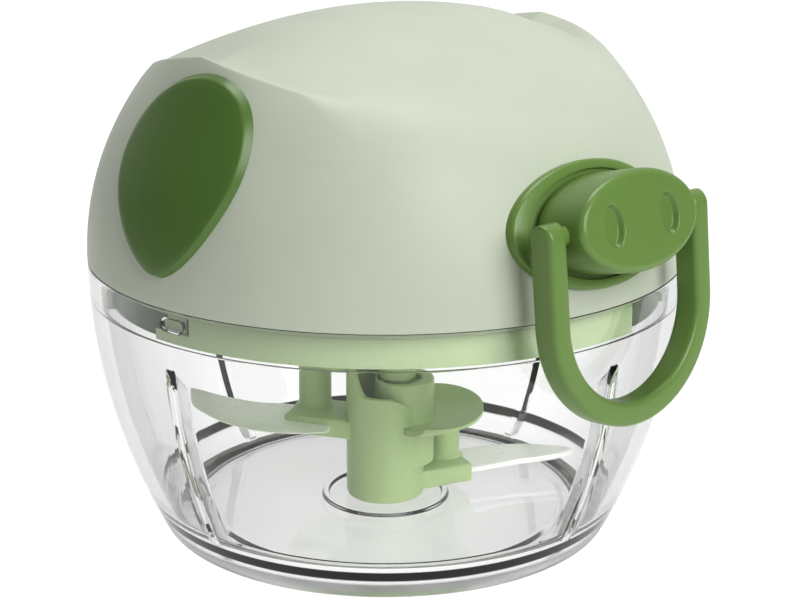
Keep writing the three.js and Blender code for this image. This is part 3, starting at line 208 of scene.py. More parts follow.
def recess_shade(nodes, where, colour):
    """Paints shade into a colour: it turns darker in the lid base's slots and groove."""
    radius = level_radius(nodes, where)
    low, high = (r * MM for r in RECESS)
    fade = RECESS_FADE * MM
    share = maths(nodes, "MULTIPLY", ramp(nodes, radius, low - fade, low, 0, 1),
                  ramp(nodes, radius, high, high + fade, 1, 0))
    return mixed(nodes, share, colour, RECESS_PAINTED_SHADE)


def plastic(name, slot, color, rough, grain, cloud, shine=0.3, paints_recess_shade=False):
    """Moulded plastic: faint clouds in the colour, a fine grain, and patches of gloss and wear. On request,
    painted shade darkens the colour in the lid base's slots and groove.
    """
    nodes, where, shader = start_material(name)
    shader.inputs["Specular IOR Level"].default_value = shine
    dark, pale = (tuple(min(1, c * k) for c in color) for k in (1 - cloud, 1 + cloud))
    colour = mixed(nodes, ramp(nodes, noise(nodes, where, CLOUD_SIZE), 0.35, 0.65, 0, 1), dark, pale)
    nodes.join(recess_shade(nodes, where, colour) if paints_recess_shade else colour, shader.inputs["Base Color"])
    patches = noise(nodes, where, PATCH_SIZE, 2)
    nodes.join(ramp(nodes, patches, 0.3, 0.7, rough * 0.95, rough * 1.05), shader.inputs["Roughness"])
    relief(nodes, shader, noise(nodes, where, GRAIN_SIZE, 2), grain)
    return nodes.look(shader.outputs["BSDF"], slot)


# painted shade: the clear plastic's colour turns dark grey towards grazing angles, so the bowl's edges look
# grey
CLEAR_FACING = (0.955, 0.958, 0.955)
CLEAR_GRAZING_SHADE = (0.16, 0.162, 0.16)
CLEAR_BLEND = 0.35
CLEAR_IOR = 1.46
CLEAR_HAZE = 0.02
CLEAR_RIPPLE = 0.012
CLEAR_SHADOW = (0.99, 0.99, 0.99, 1)
FOOT_SHADE_R = 34.2  # painted shade: the bowl's thick foot is painted grey outside this radius and has a dark band of painted shade above it, outside this one
FOOT_SHADE_LINE_R = 35.4  # and has a dark line above it, outside this one
FOOT_SHADE_LINE_Z = 3.4
FOOT_SHADE_LINE_W = 1.6
FOOT_SHADE_GREY = 0.95
FOOT_ROUGH = 0.3


def clear_plastic():
    """The bowl's clear plastic, which lets lamp light through to what is inside. Its colour carries painted
    shade: darker at grazing angles, grey on the foot, and a dark band above the foot.
    """
    nodes, where, shader = start_material("clear_bowl")
    # painted shade: the colour darkens towards grazing angles
    facing = nodes.add("ShaderNodeLayerWeight", Blend=CLEAR_BLEND).outputs["Facing"]
    colour = mixed(nodes, ramp(nodes, facing, 0.2, 1, 0, 1), CLEAR_FACING, CLEAR_GRAZING_SHADE)
    radius = level_radius(nodes, where)
    height = nodes.add("ShaderNodeSeparateXYZ")
    nodes.join(where, height.inputs[0])
    # painted shade on the foot: grey low down and a dark band above it
    shares = []
    for low, high, from_r, grey in ((0, FOOT_SHADE_LINE_Z, FOOT_SHADE_R, FOOT_SHADE_GREY),
                                    (FOOT_SHADE_LINE_Z, FOOT_SHADE_LINE_Z + FOOT_SHADE_LINE_W, FOOT_SHADE_LINE_R, 0)):
        outer = ramp(nodes, radius, from_r * MM, (from_r + 0.3) * MM, 0, 1)
        above = ramp(nodes, height.outputs["Z"], (low - 0.3) * MM, low * MM, 0, 1)
        below = ramp(nodes, height.outputs["Z"], (high - 0.1) * MM, (high + 0.1) * MM, 1, 0)
        shares.append(maths(nodes, "MULTIPLY", maths(nodes, "MULTIPLY", above, below), outer))
        colour = mixed(nodes, shares[-1], colour, (grey, grey, grey))
    nodes.join(colour, shader.inputs["Base Color"])
    shader.inputs["Transmission Weight"].default_value = 1
    shader.inputs["IOR"].default_value = CLEAR_IOR
    haze = ramp(nodes, noise(nodes, where, 9, 4), 0.35, 0.7, 0, CLEAR_HAZE)
    rough = maths(nodes, "MAXIMUM", haze, ramp(nodes, shares[0], 0, 1, 0, FOOT_ROUGH))
    nodes.join(rough, shader.inputs["Roughness"])
    relief(nodes, shader, noise(nodes, where, 11, 1), CLEAR_RIPPLE)
    choice = nodes.add("ShaderNodeMixShader")
    nodes.join(nodes.add("ShaderNodeLightPath").outputs["Is Shadow Ray"], choice.inputs[0])
    nodes.join(shader.outputs["BSDF"], choice.inputs[1])
    nodes.join(nodes.add("ShaderNodeBsdfTransparent", Color=CLEAR_SHADOW).outputs["BSDF"], choice.inputs[2])
    return nodes.look(choice.outputs["Shader"], "clear_plastic")


STEEL_TINTS = ((0.93, 0.935, 0.925), (0.99, 0.99, 0.985))
STEEL_LINES = 0.006


def steel(name, rough, metallic=1.0):
    """Polished stainless steel with the fine lines that its grinding leaves."""
    nodes, where, shader = start_material(name)
    stretch = nodes.add("ShaderNodeMapping", Scale=(1, 8, 8))
    nodes.join(where, stretch.inputs["Vector"])
    shader.inputs["Metallic"].default_value = metallic
    tint = mixed(nodes, ramp(nodes, noise(nodes, where, 7), 0.3, 0.7, 0, 1), *STEEL_TINTS)
    nodes.join(tint, shader.inputs["Base Color"])
    lines = noise(nodes, stretch.outputs["Vector"], 1.2, 4)
    nodes.join(ramp(nodes, lines, 0.3, 0.7, rough * 0.8, rough * 1.25), shader.inputs["Roughness"])
    relief(nodes, shader, lines, STEEL_LINES, 0.6)
    return nodes.look(shader.outputs["BSDF"], "steel")


CORD_TINTS = ((0.55, 0.57, 0.52), (0.82, 0.83, 0.78))
CORD_STRAND = 2.4
CORD_RELIEF = 0.12


def braid():
    """The nylon cord's braid: two crossing sets of bands and a soft sheen."""
    nodes, where, shader = start_material("braided_cord")
    shader.inputs["Sheen Weight"].default_value = 0.3
    heights = []
    for turn in (math.radians(45), math.radians(-45)):
        lean = nodes.add("ShaderNodeMapping", Rotation=(turn, turn, 0))
        nodes.join(where, lean.inputs["Vector"])
        bands = nodes.add("ShaderNodeTexWave", Scale=1 / (CORD_STRAND * MM), Distortion=0.4)
        nodes.join(lean.outputs["Vector"], bands.inputs["Vector"])
        heights.append(bands.outputs["Fac"])
    both = maths(nodes, "MAXIMUM", *heights)
    nodes.join(mixed(nodes, both, *CORD_TINTS), shader.inputs["Base Color"])
    nodes.join(ramp(nodes, noise(nodes, where, 0.8), 0.3, 0.7, 0.75, 0.95), shader.inputs["Roughness"])
    relief(nodes, shader, both, CORD_RELIEF, 0.8)
    return nodes.look(shader.outputs["BSDF"], "cord")


SAGE = plastic("sage_lid", "sage_plastic", (0.52, 0.56, 0.465), 0.45, 0.01, 0.02)
LEAF = plastic("leaf_green", "leaf_plastic", (0.15, 0.252, 0.064), 0.3, 0.006, 0.02, shine=0.5)
# painted shade: the ear inlays take a darker copy of the leaf green, for their sides that face away from the
# lamps
SHADED_LEAF = plastic("ear_green", "moss_plastic", (0.092, 0.175, 0.038), 0.32, 0.006, 0.02, shine=0.5)
PALE = plastic("pale_green", "pale_plastic", (0.43, 0.56, 0.28), 0.33, 0.004, 0.02)
# the lid base's colour carries painted shade in its slots and groove
BASE = plastic("base_green", "pale_plastic", (0.45, 0.55, 0.34), 0.25, 0.005, 0.02, paints_recess_shade=True)
WHITE = plastic("white_moulding", "white_plastic", (0.78, 0.78, 0.75), 0.5, 0.015, 0.03)
SEAL = plastic("seal_silicone", "silicone", (0.5, 0.58, 0.4), 0.65, 0.02, 0.04)
CLEAR = clear_plastic()
BLADE = steel("blade_steel", 0.32, 0.2)
STEEL = steel("pin_steel", 0.3)
CORD = braid()


# Mesh helpers


def grid(rows, columns, wrap_rows=False, wrap_columns=False, first=0):
    """Quads over points that are numbered row by row."""
    i = np.arange(rows if wrap_rows else rows - 1)[:, None]
    j = np.arange(columns if wrap_columns else columns - 1)
    next_i = (i + 1) % rows
    next_j = (j + 1) % columns
    corners = [i * columns + j, i * columns + next_j, next_i * columns + next_j, next_i * columns + j]
    return (np.stack(corners, -1).reshape(-1, 4) + first).tolist()


def spread(profile, count):
    """The radii and heights of a profile, repeated for each of so many azimuths."""
    return np.repeat(np.asarray(profile, float).T[:, None], count, 1)


class Shell:
    """Points and faces of one piece, gathered from one or more closed forms."""

    def __init__(self):
        self.points = []
        self.faces = []

    def add(self, points, faces):
        first = sum(len(p) for p in self.points)
        self.points.append(np.asarray(points, float).reshape(-1, 3))
        self.faces += [[first + k for k in face] for face in faces]
        return self

    def tube(self, rings):
        """Closed rings of equal length, one after the other, with both ends filled."""
        rings = np.asarray(rings, float)
        count, around = rings.shape[:2]
        faces = grid(count, around, wrap_columns=True)
        faces += [list(range(around))[::-1], [(count - 1) * around + k for k in range(around)]]
        return self.add(rings, faces)

    def turned(self, profile, steps=96):
        """A profile of [radius, height] pairs turned round the Z axis."""
        return self.polar(np.arange(steps) * 360 / steps, *spread(profile, steps))

    def polar(self, azimuths, r, z):
        """One profile for each azimuth. The profiles close, or start and end on the axis."""
        angle = np.radians(azimuths)[:, None]
        points = np.stack([r * np.sin(angle), -r * np.cos(angle), z], -1)
        return self.add(points, grid(*r.shape, wrap_rows=True, wrap_columns=True))

    def moved(self, change):
        self.points = [change(p) for p in self.points]
        return self

    def take(self, other):
        return self.add(np.vstack(other.points), other.faces)


def piece(name, shell, look, body, stands_for=(), sharp=35):
    mesh = bpy.data.meshes.new(name)
    mesh.from_pydata((np.vstack(shell.points) * MM).tolist(), [], shell.faces)
    obj = bpy.data.objects.new(name, mesh)
    bpy.context.scene.collection.objects.link(obj)
    work = bmesh.new()
    work.from_mesh(mesh)
    bmesh.ops.remove_doubles(work, verts=work.verts, dist=0.0005 * MM)
    bmesh.ops.dissolve_degenerate(work, edges=work.edges, dist=0.0005 * MM)
    bmesh.ops.recalc_face_normals(work, faces=work.faces)
    work.to_mesh(mesh)
    work.free()
    mesh.polygons.foreach_set("use_smooth", [True] * len(mesh.polygons))
    mesh.set_sharp_from_angle(angle=math.radians(sharp))
    mesh.materials.append(look.material)
    if body:
        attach(obj, body)
    if stands_for:
        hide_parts(*stands_for)
    return obj


def filleted(corners, steps=4):
    """Rounds a profile's corners. Each corner is [radius, height] or [radius, height, fillet]."""
    out = []
    count = len(corners)
    for i, corner in enumerate(corners):
        here = np.array(corner[:2], float)
        fillet = corner[2] if len(corner) > 2 else 0
        if not fillet or i in (0, count - 1):
            out.append(here)
            continue
        before = np.array(corners[i - 1][:2], float) - here
        after = np.array(corners[(i + 1) % count][:2], float) - here
        a = here + before / np.linalg.norm(before) * min(fillet, np.linalg.norm(before) / 2)
        b = here + after / np.linalg.norm(after) * min(fillet, np.linalg.norm(after) / 2)
        for t in np.linspace(0, 1, steps + 1):
            out.append((1 - t) ** 2 * a + 2 * t * (1 - t) * here + t * t * b)
    return np.array(out)


def curve_through(points, steps):
    """A smooth curve through points, as steps + 1 points."""
    points = np.asarray(points, float)
    padded = np.vstack([2 * points[0] - points[1], points, 2 * points[-1] - points[-2]])
    out = []
    for t in np.linspace(0, len(points) - 1, steps + 1):
        i = min(int(t), len(points) - 2)
        f = t - i
        p0, p1, p2, p3 = padded[i:i + 4]
        out.append(0.5 * (2 * p1 + (p2 - p0) * f + (2 * p0 - 5 * p1 + 4 * p2 - p3) * f ** 2
                          + (3 * p1 - p0 - 3 * p2 + p3) * f ** 3))
    return np.array(out)


def oval(half_width, half_height, steps):
    angle = np.arange(steps) * 2 * math.pi / steps
    return np.stack([half_width * np.cos(angle), half_height * np.sin(angle)], -1)


def turned_about_z(degrees):
    c, s = math.cos(math.radians(degrees)), math.sin(math.radians(degrees))
    turn = np.array([[c, s, 0], [-s, c, 0], [0, 0, 1]])
    return lambda p: p @ turn


# Bowl

RIM_R = 45
BASE_R = 34.7
BOWL_H = 42
BOWL_WALL = 2.2
RIM_WALL = 1.7
RIM_TOP_Z = 42.2
LEDGE_Z = 36.75
SWELL_POWER = 2.1
FOOT_R = 31.2
FOOT_HOLLOW = 0.6
FLOOR_Z = 2.2
FLOOR_R = 27.3
TROUGH_Z = 1.8
COVE_R = 33.6
COVE_Z = 4.8
PIVOT_RING_R = 9.9
PIVOT_RING_W = 0.9
PIVOT_RING_H = 0.5
RIB_TURNS = (5, 95, 185, 275)
RIB_T = 1.5
RIB_DEPTH = 2
RIB_TOP_Z = 33
RIB_RUNOUT = 3
LUG_TURNS = (-83.4, 36.6, 156.6)
LUG_L = 4.2
LUG_H = 1.8
LUG_Z = 39.8
LUG_REACH = 0.95


def bowl_radius(z):
    down = np.maximum(1 - np.asarray(z, float) / BOWL_H, 0)
    return BASE_R + (RIM_R - BASE_R) * (1 - down ** SWELL_POWER)


def off_turn(azimuths, turn):
    """Degrees between azimuths and a turn, from -180 to 180."""
    return (azimuths - turn + 180) % 360 - 180


def columns(base, groups):
    """Azimuths all round, with more of them round each turn in groups of (turn, offsets)."""
    azimuths = [np.arange(base) * 360 / base]
    for turn, offsets in groups:
        azimuths.append((turn + np.asarray(offsets, float)) % 360)
    merged = np.unique(np.round(np.concatenate(azimuths), 4))
    return merged[np.append(True, np.diff(merged) > 0.02)]


def make_bowl():
    rib_offsets = np.degrees(np.array([-1.9, -1.3, -1, -0.85, -0.7, -0.5, -0.25, 0]) / 38)
    rib_offsets = np.concatenate([rib_offsets, -rib_offsets])
    lug_offsets = np.degrees(np.linspace(-1, 1, 33) * (LUG_L / 2 + 0.3) / 42)
    azimuths = columns(176, [(t, rib_offsets) for t in RIB_TURNS] + [(t, lug_offsets) for t in LUG_TURNS])

    outer = filleted([
        (0, FOOT_HOLLOW),
        (FOOT_R - 1.3, FOOT_HOLLOW, 0.3),
        (FOOT_R, 0, 0.35),
        (BASE_R, 0, 0.5),
        (float(bowl_radius(1.4)), 1.4),
    ])
    heights = np.linspace(2.2, BOWL_H - 1, 42)
    outer = np.vstack([outer, np.stack([bowl_radius(heights), heights], -1)])
    rim = filleted([
        (float(bowl_radius(RIM_TOP_Z - 0.8)), RIM_TOP_Z - 0.8),
        (RIM_R, RIM_TOP_Z, 0.08),
        (RIM_R - RIM_WALL, RIM_TOP_Z, 0.08),
        (RIM_R - RIM_WALL, RIM_TOP_Z - 0.8),
    ])
    down = np.concatenate([
        np.arange(41, 38.2, -0.15),
        np.arange(38, LEDGE_Z + 0.2, -0.4),
        LEDGE_Z + np.array([0.08, 0.01, 0, -0.05, -0.12, -0.3]),
        np.arange(LEDGE_Z - 0.75, RIB_TOP_Z + 0.5, -0.75),
        np.arange(RIB_TOP_Z + 0.3, RIB_TOP_Z - RIB_RUNOUT - 1, -0.4),
        np.linspace(RIB_TOP_Z - RIB_RUNOUT - 1.5, COVE_Z + 1, 22),
    ])
    thickness = np.interp(down, LEDGE_Z + np.array([-0.12, -0.05, 0, 0.01]),
                          [BOWL_WALL, BOWL_WALL - 0.03, BOWL_WALL - 0.12, RIM_WALL])
    wall = np.stack([bowl_radius(down) - thickness, down], -1)
    ring_inner = PIVOT_RING_R - PIVOT_RING_W
    cove = curve_through([
        (float(bowl_radius(COVE_Z + 1)) - BOWL_WALL, COVE_Z + 1),
        (COVE_R, COVE_Z - 0.6),
        (32.4, 2.9),
        (30.6, TROUGH_Z),
    ], 12)[1:]
    floor = filleted([
        (30.6, TROUGH_Z),
        (FLOOR_R + 1.2, TROUGH_Z, 0.3),
        (FLOOR_R, FLOOR_Z, 0.3),
        (PIVOT_RING_R + 0.1, FLOOR_Z, 0.15),
        (PIVOT_RING_R, FLOOR_Z + PIVOT_RING_H, 0.2),
        (ring_inner, FLOOR_Z + PIVOT_RING_H, 0.2),
        (ring_inner - 0.1, FLOOR_Z, 0.15),
        (0, FLOOR_Z),
    ])[1:]
    profile = np.vstack([outer, rim, wall, cove, floor])
    r, z = spread(profile, len(azimuths))
    first = len(outer) + len(rim)
    inside = slice(first, first + len(wall) + len(cove))
    height = z[:, inside]
    reach = RIB_DEPTH * np.clip((RIB_TOP_Z - height) / RIB_RUNOUT, 0, 1)
    reach *= smooth(height, FLOOR_Z, FLOOR_Z + 1.2)
    for turn in RIB_TURNS:
        across = np.abs(np.radians(off_turn(azimuths, turn)))[:, None] * r[:, inside]
        r[:, inside] -= reach * (1 - smooth(across, RIB_T / 2 - 0.08, RIB_T / 2 + 0.28))
    for turn in LUG_TURNS:
        along = np.abs(np.radians(off_turn(azimuths, turn)))[:, None] * r[:, inside]
        straight = np.maximum(along - (LUG_L - LUG_H) / 2, 0)
        from_middle = np.hypot(straight, height - LUG_Z)
        r[:, inside] -= LUG_REACH * (1 - smooth(from_middle, LUG_H / 2 - 0.2, LUG_H / 2 + 0.12))
    return piece("bowl_clear", Shell().polar(azimuths, r, z), CLEAR, "bowl", ["bowl"], sharp=50)


# Lid cover

SEAM_Z = 42.3
LID_RISE = 43.7
COVER_WALL = 2
DOME_TOP_Z = 78.9
DOME_R = 38
DOME_SIDE_DROP = 7.1
DOME_FRONT_DROP = 17.3
EDGE_FRONT_RISE = 21.3
EDGE_SIDE_RISE = 32.7
EDGE_STRAIGHT_SHARE = 0.58
EDGE_BLEND_W = 15
EDGE_SOFT = (3.2, 0.4)  # in front and behind, and at the ears
UNDER_DROP = 5
UPPER_WALL_GAIN = 0.4
EAR_INNER_ANGLE = 4
EAR_OUTER_ANGLE = 50
EAR_SLOPE_W = 2.4
EAR_STEP = 2
EAR_FLARE = 4.4
EAR_FLARE_START_Z = 59.1
EAR_FLARE_H = 17
EAR_FLARE_POWER = 2.5
FLARE_INNER_ANGLE = 8
FLARE_OUTER_ANGLE = 48
FRONT_FLAT = 1
FRONT_FLAT_H = 12
FRONT_FLAT_POWER = 1.2
FRONT_FLAT_ANGLE = 56


def ear_angle(azimuths):
    return np.abs(90 - np.abs(off_turn(np.asarray(azimuths, float), 0)))


def lid_radius(z, azimuths):
    flank = RIM_R * np.sqrt(np.maximum(0, 1 - ((z - SEAM_Z) / LID_RISE) ** 2))
    over = np.maximum(0, z - EAR_FLARE_START_Z) / EAR_FLARE_H
    ear = 1 - smooth(ear_angle(azimuths), FLARE_INNER_ANGLE, FLARE_OUTER_ANGLE)
    rise = np.maximum(0, z - SEAM_Z) / FRONT_FLAT_H
    front = 1 - smooth(90 - ear_angle(azimuths), 0, FRONT_FLAT_ANGLE)
    return flank + EAR_FLARE * over ** EAR_FLARE_POWER * ear - FRONT_FLAT * rise ** FRONT_FLAT_POWER * front


def dome_height(r, azimuths):
    x = r * np.sin(np.radians(azimuths)) / DOME_R
    y = r * np.cos(np.radians(azimuths)) / DOME_R
    return DOME_TOP_Z - DOME_SIDE_DROP * x ** 2 - DOME_FRONT_DROP * y ** 2


def edge_height(azimuths):
    """Height of the lid's edge, lowest in front and behind and highest at the ears."""
    away = ear_angle(azimuths) / 90
    climb = 1 - mix(smooth(away, 0, 1), away, EDGE_STRAIGHT_SHARE)
    return SEAM_Z + mix(EDGE_FRONT_RISE, EDGE_SIDE_RISE, climb)


def make_cover():
    azimuths = np.arange(400) * 360 / 400
    edge_z = edge_height(azimuths)
    edge_r = lid_radius(edge_z, azimuths)
    lip = edge_z - dome_height(edge_r, azimuths)
    ear = 1 - smooth(ear_angle(azimuths), EAR_INNER_ANGLE, EAR_OUTER_ANGLE)
    soft = mix(*EDGE_SOFT, smooth(ear, 0.02, 0.45))

    rows_r, rows_z = [], []

    def row(r, z):
        rows_r.append(np.broadcast_to(r, azimuths.shape))
        rows_z.append(np.broadcast_to(z, azimuths.shape))

    rim = filleted([
        (RIM_R - COVER_WALL, SEAM_Z + 0.6),
        (RIM_R - COVER_WALL, SEAM_Z, 0.2),
        (RIM_R, SEAM_Z, 0.1),
        (RIM_R, SEAM_Z + 0.9),
    ])
    for r, z in rim[1:]:
        row(r, z)
    for t in np.linspace(0, 1, 48)[1:]:
        z = mix(SEAM_Z + 0.9, edge_z - soft, t)
        row(lid_radius(z, azimuths), z)

    def top(inward):
        """Height of the lid's top at a distance inward from its edge."""
        lift = lip * (1 - smooth(inward, 0, EDGE_BLEND_W))
        step = EAR_STEP * ear * np.clip(inward / EAR_SLOPE_W, 0, 1)
        step = step * (1 - smooth(inward, EAR_SLOPE_W, EDGE_BLEND_W))
        return dome_height(edge_r - inward, azimuths) + lift - step

    below_r, below_z = lid_radius(edge_z - soft, azimuths), edge_z - soft
    for t in np.linspace(0, 1, 9)[1:]:
        a, b, c = (1 - t) ** 2, 2 * t * (1 - t), t * t
        row(a * below_r + b * edge_r + c * (edge_r - soft), a * below_z + b * edge_z + c * top(soft))
    foot = np.maximum(EAR_SLOPE_W, soft + 0.3)
    for t in np.linspace(0, 1, 10)[1:]:
        row(edge_r - mix(soft, foot, t), top(mix(soft, foot, t)))
    for t in np.linspace(0, 1, 40)[1:]:
        inward = mix(foot, EDGE_BLEND_W, t ** 1.3)
        row(edge_r - inward, top(inward))
    inner_r = edge_r - EDGE_BLEND_W
    for t in np.linspace(0, 1, 20)[1:]:
        r = inner_r * (1 - t)
        row(r, dome_height(r, azimuths))
    under_z = edge_z - UNDER_DROP
    under_r = lid_radius(under_z, azimuths) - COVER_WALL - UPPER_WALL_GAIN
    for t in np.linspace(0, 1, 14):
        row(under_r * t, dome_height(under_r * t, azimuths) - COVER_WALL)
    for t in np.linspace(0, 1, 16)[:-1]:
        z = mix(under_z, SEAM_Z + 0.6, t)
        row(lid_radius(z, azimuths) - COVER_WALL - UPPER_WALL_GAIN * (1 - t), z)
    return piece("lid_cover_sage", Shell().polar(azimuths, np.stack(rows_r, -1), np.stack(rows_z, -1)),
                 SAGE, "lid", ["lid_cover"], sharp=60)


# Ear inlays

INLAY_BOTTOM_Z = 46.5
INLAY_TOP_Z = 73
INLAY_BELLY_Z = 61.4
INLAY_AHEAD = 2.3
INLAY_LEAN = 1.4
INLAY_HALF_W = 12.1
INLAY_TIP_W = 4.3
INLAY_UPPER_BOW = 6.4
INLAY_LOWER_BOW = 6.2
INLAY_CROWN_W = 6.6
INLAY_PROUD = 1.1
INLAY_CHAMFER = 0.55
INLAY_SINK = 0.8


def bezier(a, b, c, d, steps):
    t = np.linspace(0, 1, steps + 1)[:-1, None]
    a, b, c, d = (np.array(p, float) for p in (a, b, c, d))
    return (1 - t) ** 3 * a + 3 * t * (1 - t) ** 2 * b + 3 * t * t * (1 - t) * c + t ** 3 * d


def inlay_outline():
    """The inlays' outline as [distance towards the front, height], from the lower tip round."""
    tip = INLAY_AHEAD + INLAY_LEAN
    fore, aft = INLAY_AHEAD + INLAY_HALF_W, INLAY_AHEAD - INLAY_HALF_W
    low, belly, high = INLAY_BOTTOM_Z, INLAY_BELLY_Z, INLAY_TOP_Z
    lower, upper = belly - INLAY_LOWER_BOW, belly + INLAY_UPPER_BOW
    return np.vstack([
        bezier((tip, low), (tip + INLAY_TIP_W, low), (fore, lower), (fore, belly), 30),
        bezier((fore, belly), (fore, upper), (tip + INLAY_CROWN_W, high), (tip, high), 30),
        bezier((tip, high), (tip - INLAY_CROWN_W, high), (aft, upper), (aft, belly), 30),
        bezier((aft, belly), (aft, lower), (tip - INLAY_TIP_W, low), (tip, low), 30),
    ])


def inset(outline, distance):
    """A closed outline moved inwards by a distance."""
    along = np.roll(outline, -1, 0) - np.roll(outline, 1, 0)
    along /= np.linalg.norm(along, axis=1)[:, None]
    inward = np.stack([-along[:, 1], along[:, 0]], -1)
    return outline + inward * distance


def ear_side_x(y, z, grow):
    """How far out the lid's side is at a place seen along X, plus a growth along its normal."""
    x = np.full(len(y), 40.0)
    for _ in range(30):
        azimuths = np.degrees(np.arctan2(x, -y))
        x = np.sqrt(np.maximum((lid_radius(z, azimuths) + grow) ** 2 - y ** 2, 1))
    return x


def make_inlay(side, node):
    outline = inlay_outline()
    rings = []

    def ring(flat, grow):
        y, z = -flat[:, 0], flat[:, 1]
        rings.append(np.stack([side * ear_side_x(y, z, grow), y, z], -1))

    ring(outline, -INLAY_SINK)
    ring(outline, 0.05)
    for t in np.linspace(0, 1, 4)[1:]:
        ring(inset(outline, 0.06 * t), 0.05 + 0.1 * t)
    chamfered = inset(outline, INLAY_CHAMFER)
    for t in np.linspace(0, 1, 4):
        ring(mix(inset(outline, 0.06), chamfered, 0.9 * t), mix(0.15, INLAY_PROUD, 0.93 * t))
    ring(inset(outline, INLAY_CHAMFER + 0.08), INLAY_PROUD - 0.02)
    centre = np.array([[INLAY_AHEAD, INLAY_BELLY_Z]])
    for t in np.linspace(0, 1, 22)[1:-1]:
        ring(mix(inset(outline, INLAY_CHAMFER + 0.3), centre, t), INLAY_PROUD + 0.12 * t)
    shell = Shell().tube(rings)
    return piece(f"{node}_green", shell, SHADED_LEAF, "lid", [node], sharp=40)


# The line of pull: the snout, its collar and the cord lie along it

PULL_TILT = 14
PULL_LINE_Z = 43.2
SNOUT_HALF_W = 11.6
SNOUT_HALF_H = 6.8
SNOUT_FACE = 51.98
SNOUT_ROUND = 1
SNOUT_WALL = 1.8
NOSTRIL_PLACE = 5.5
NOSTRIL_HALF_W = 1.8
NOSTRIL_HALF_H = 2.9
NOSTRIL_DEPTH = 0.85
COLLAR_HALF_W = 15
COLLAR_HALF_H = 8.7
COLLAR_PROUD = 1.3
COLLAR_ROUND = 0.45
COLLAR_SINK = 0.6  # how deep the collar lies inside its rim
EYELET_FLANGE_R = 3.8
CORD_D = 2.2
LEAD_ENDS = (36, 48.2)

UP = np.array([0, math.sin(math.radians(PULL_TILT)), math.cos(math.radians(PULL_TILT))])
OUT = np.array([0, -math.cos(math.radians(PULL_TILT)), math.sin(math.radians(PULL_TILT))])


def along_pull(flat, reach):
    """Places at [across, up] round the line of pull, at a reach along it."""
    flat = np.asarray(flat, float)
    reach = np.broadcast_to(reach, len(flat))
    side = np.array([1.0, 0, 0])
    start = np.array([0, 0, PULL_LINE_Z])
    return start + flat[:, :1] * side + flat[:, 1:] * UP + reach[:, None] * OUT


def lid_reach(flat, grow):
    """Reach along the line of pull at which it leaves the lid's surface, grown by a value."""
    low, high = np.full(len(flat), 20.0), np.full(len(flat), 70.0)
    for _ in range(40):
        middle = (low + high) / 2
        p = along_pull(flat, middle)
        azimuths = np.degrees(np.arctan2(p[:, 0], -p[:, 1]))
        outside = np.hypot(p[:, 0], p[:, 1]) > lid_radius(p[:, 2], azimuths) + grow
        high = np.where(outside, middle, high)
        low = np.where(outside, low, middle)
    return low


def make_collar():
    steps = 128
    rings = []

    def ring(inward, grow):
        flat = oval(COLLAR_HALF_W - inward, COLLAR_HALF_H - inward, steps)
        rings.append(along_pull(flat, lid_reach(flat, grow)))

    ring(0, -0.5)
    ring(0, 0.5 * COLLAR_PROUD)
    for t in np.linspace(0, 1, 6):
        angle = t * math.pi / 2
        ring(COLLAR_ROUND * (1 - math.cos(angle)), COLLAR_PROUD - COLLAR_ROUND * (1 - math.sin(angle)))
    hole = oval(EYELET_FLANGE_R + 0.1, EYELET_FLANGE_R + 0.1, steps)
    edge = oval(COLLAR_HALF_W - COLLAR_ROUND, COLLAR_HALF_H - COLLAR_ROUND, steps)
    sunk = [(share, COLLAR_SINK) for share in np.linspace(0.24, 1, 10)]
    for share, sink in [(0.08, 0), (0.16, 0), (0.19, 0.05), (0.21, COLLAR_SINK)] + sunk:
        flat = mix(edge, hole, share)
        rings.append(along_pull(flat, lid_reach(flat, COLLAR_PROUD - sink)))
    flat = hole * 0.98
    for grow in (COLLAR_PROUD - COLLAR_SINK - 0.3, -0.5):
        rings.append(along_pull(flat, lid_reach(flat, grow)))
    return piece("collar_green", Shell().tube(rings), LEAF, "lid", ["cord_collar"])


def make_snout():
    steps = 240
    rings = []

    def ring(inward, reach):
        rings.append(along_pull(oval(SNOUT_HALF_W - inward, SNOUT_HALF_H - inward, steps), reach))

    rear = oval(SNOUT_HALF_W, SNOUT_HALF_H, steps)
    behind = lid_reach(rear, COLLAR_PROUD + 0.3)
    inner = oval(SNOUT_HALF_W - SNOUT_WALL, SNOUT_HALF_H - SNOUT_WALL, steps)
    rings.append(along_pull(inner, SNOUT_FACE - SNOUT_WALL))
    rings.append(along_pull(inner, lid_reach(inner, COLLAR_PROUD + 0.3)))
    rings.append(along_pull(oval(SNOUT_HALF_W - 0.25, SNOUT_HALF_H - 0.25, steps), behind))
    for t in np.linspace(0, 1, 8):
        rings.append(along_pull(rear, mix(behind + 0.25, SNOUT_FACE - SNOUT_ROUND, t)))
    for t in np.linspace(0, 1, 8)[1:]:
        angle = t * math.pi / 2
        ring(SNOUT_ROUND * (1 - math.cos(angle)), SNOUT_FACE - SNOUT_ROUND * (1 - math.sin(angle)))
    for t in np.linspace(0, 1, 90)[1:-1]:
        flat = oval(SNOUT_HALF_W - SNOUT_ROUND, SNOUT_HALF_H - SNOUT_ROUND, steps) * (1 - t)
        rings.append(along_pull(flat, SNOUT_FACE - nostril_depth(flat)))
    return piece("snout_green", Shell().tube(rings), LEAF, "snout", ["snout_shell"], sharp=60)


def nostril_depth(flat):
    """How deep the snout's face lies at a place: two oval dents with a soft floor."""
    depth = np.zeros(len(flat))
    for side in (-1, 1):
        across = (flat[:, 0] - side * NOSTRIL_PLACE) / NOSTRIL_HALF_W
        up = flat[:, 1] / NOSTRIL_HALF_H
        depth += NOSTRIL_DEPTH * (1 - smooth(np.hypot(across, up), 0.76, 1.08))
    return depth


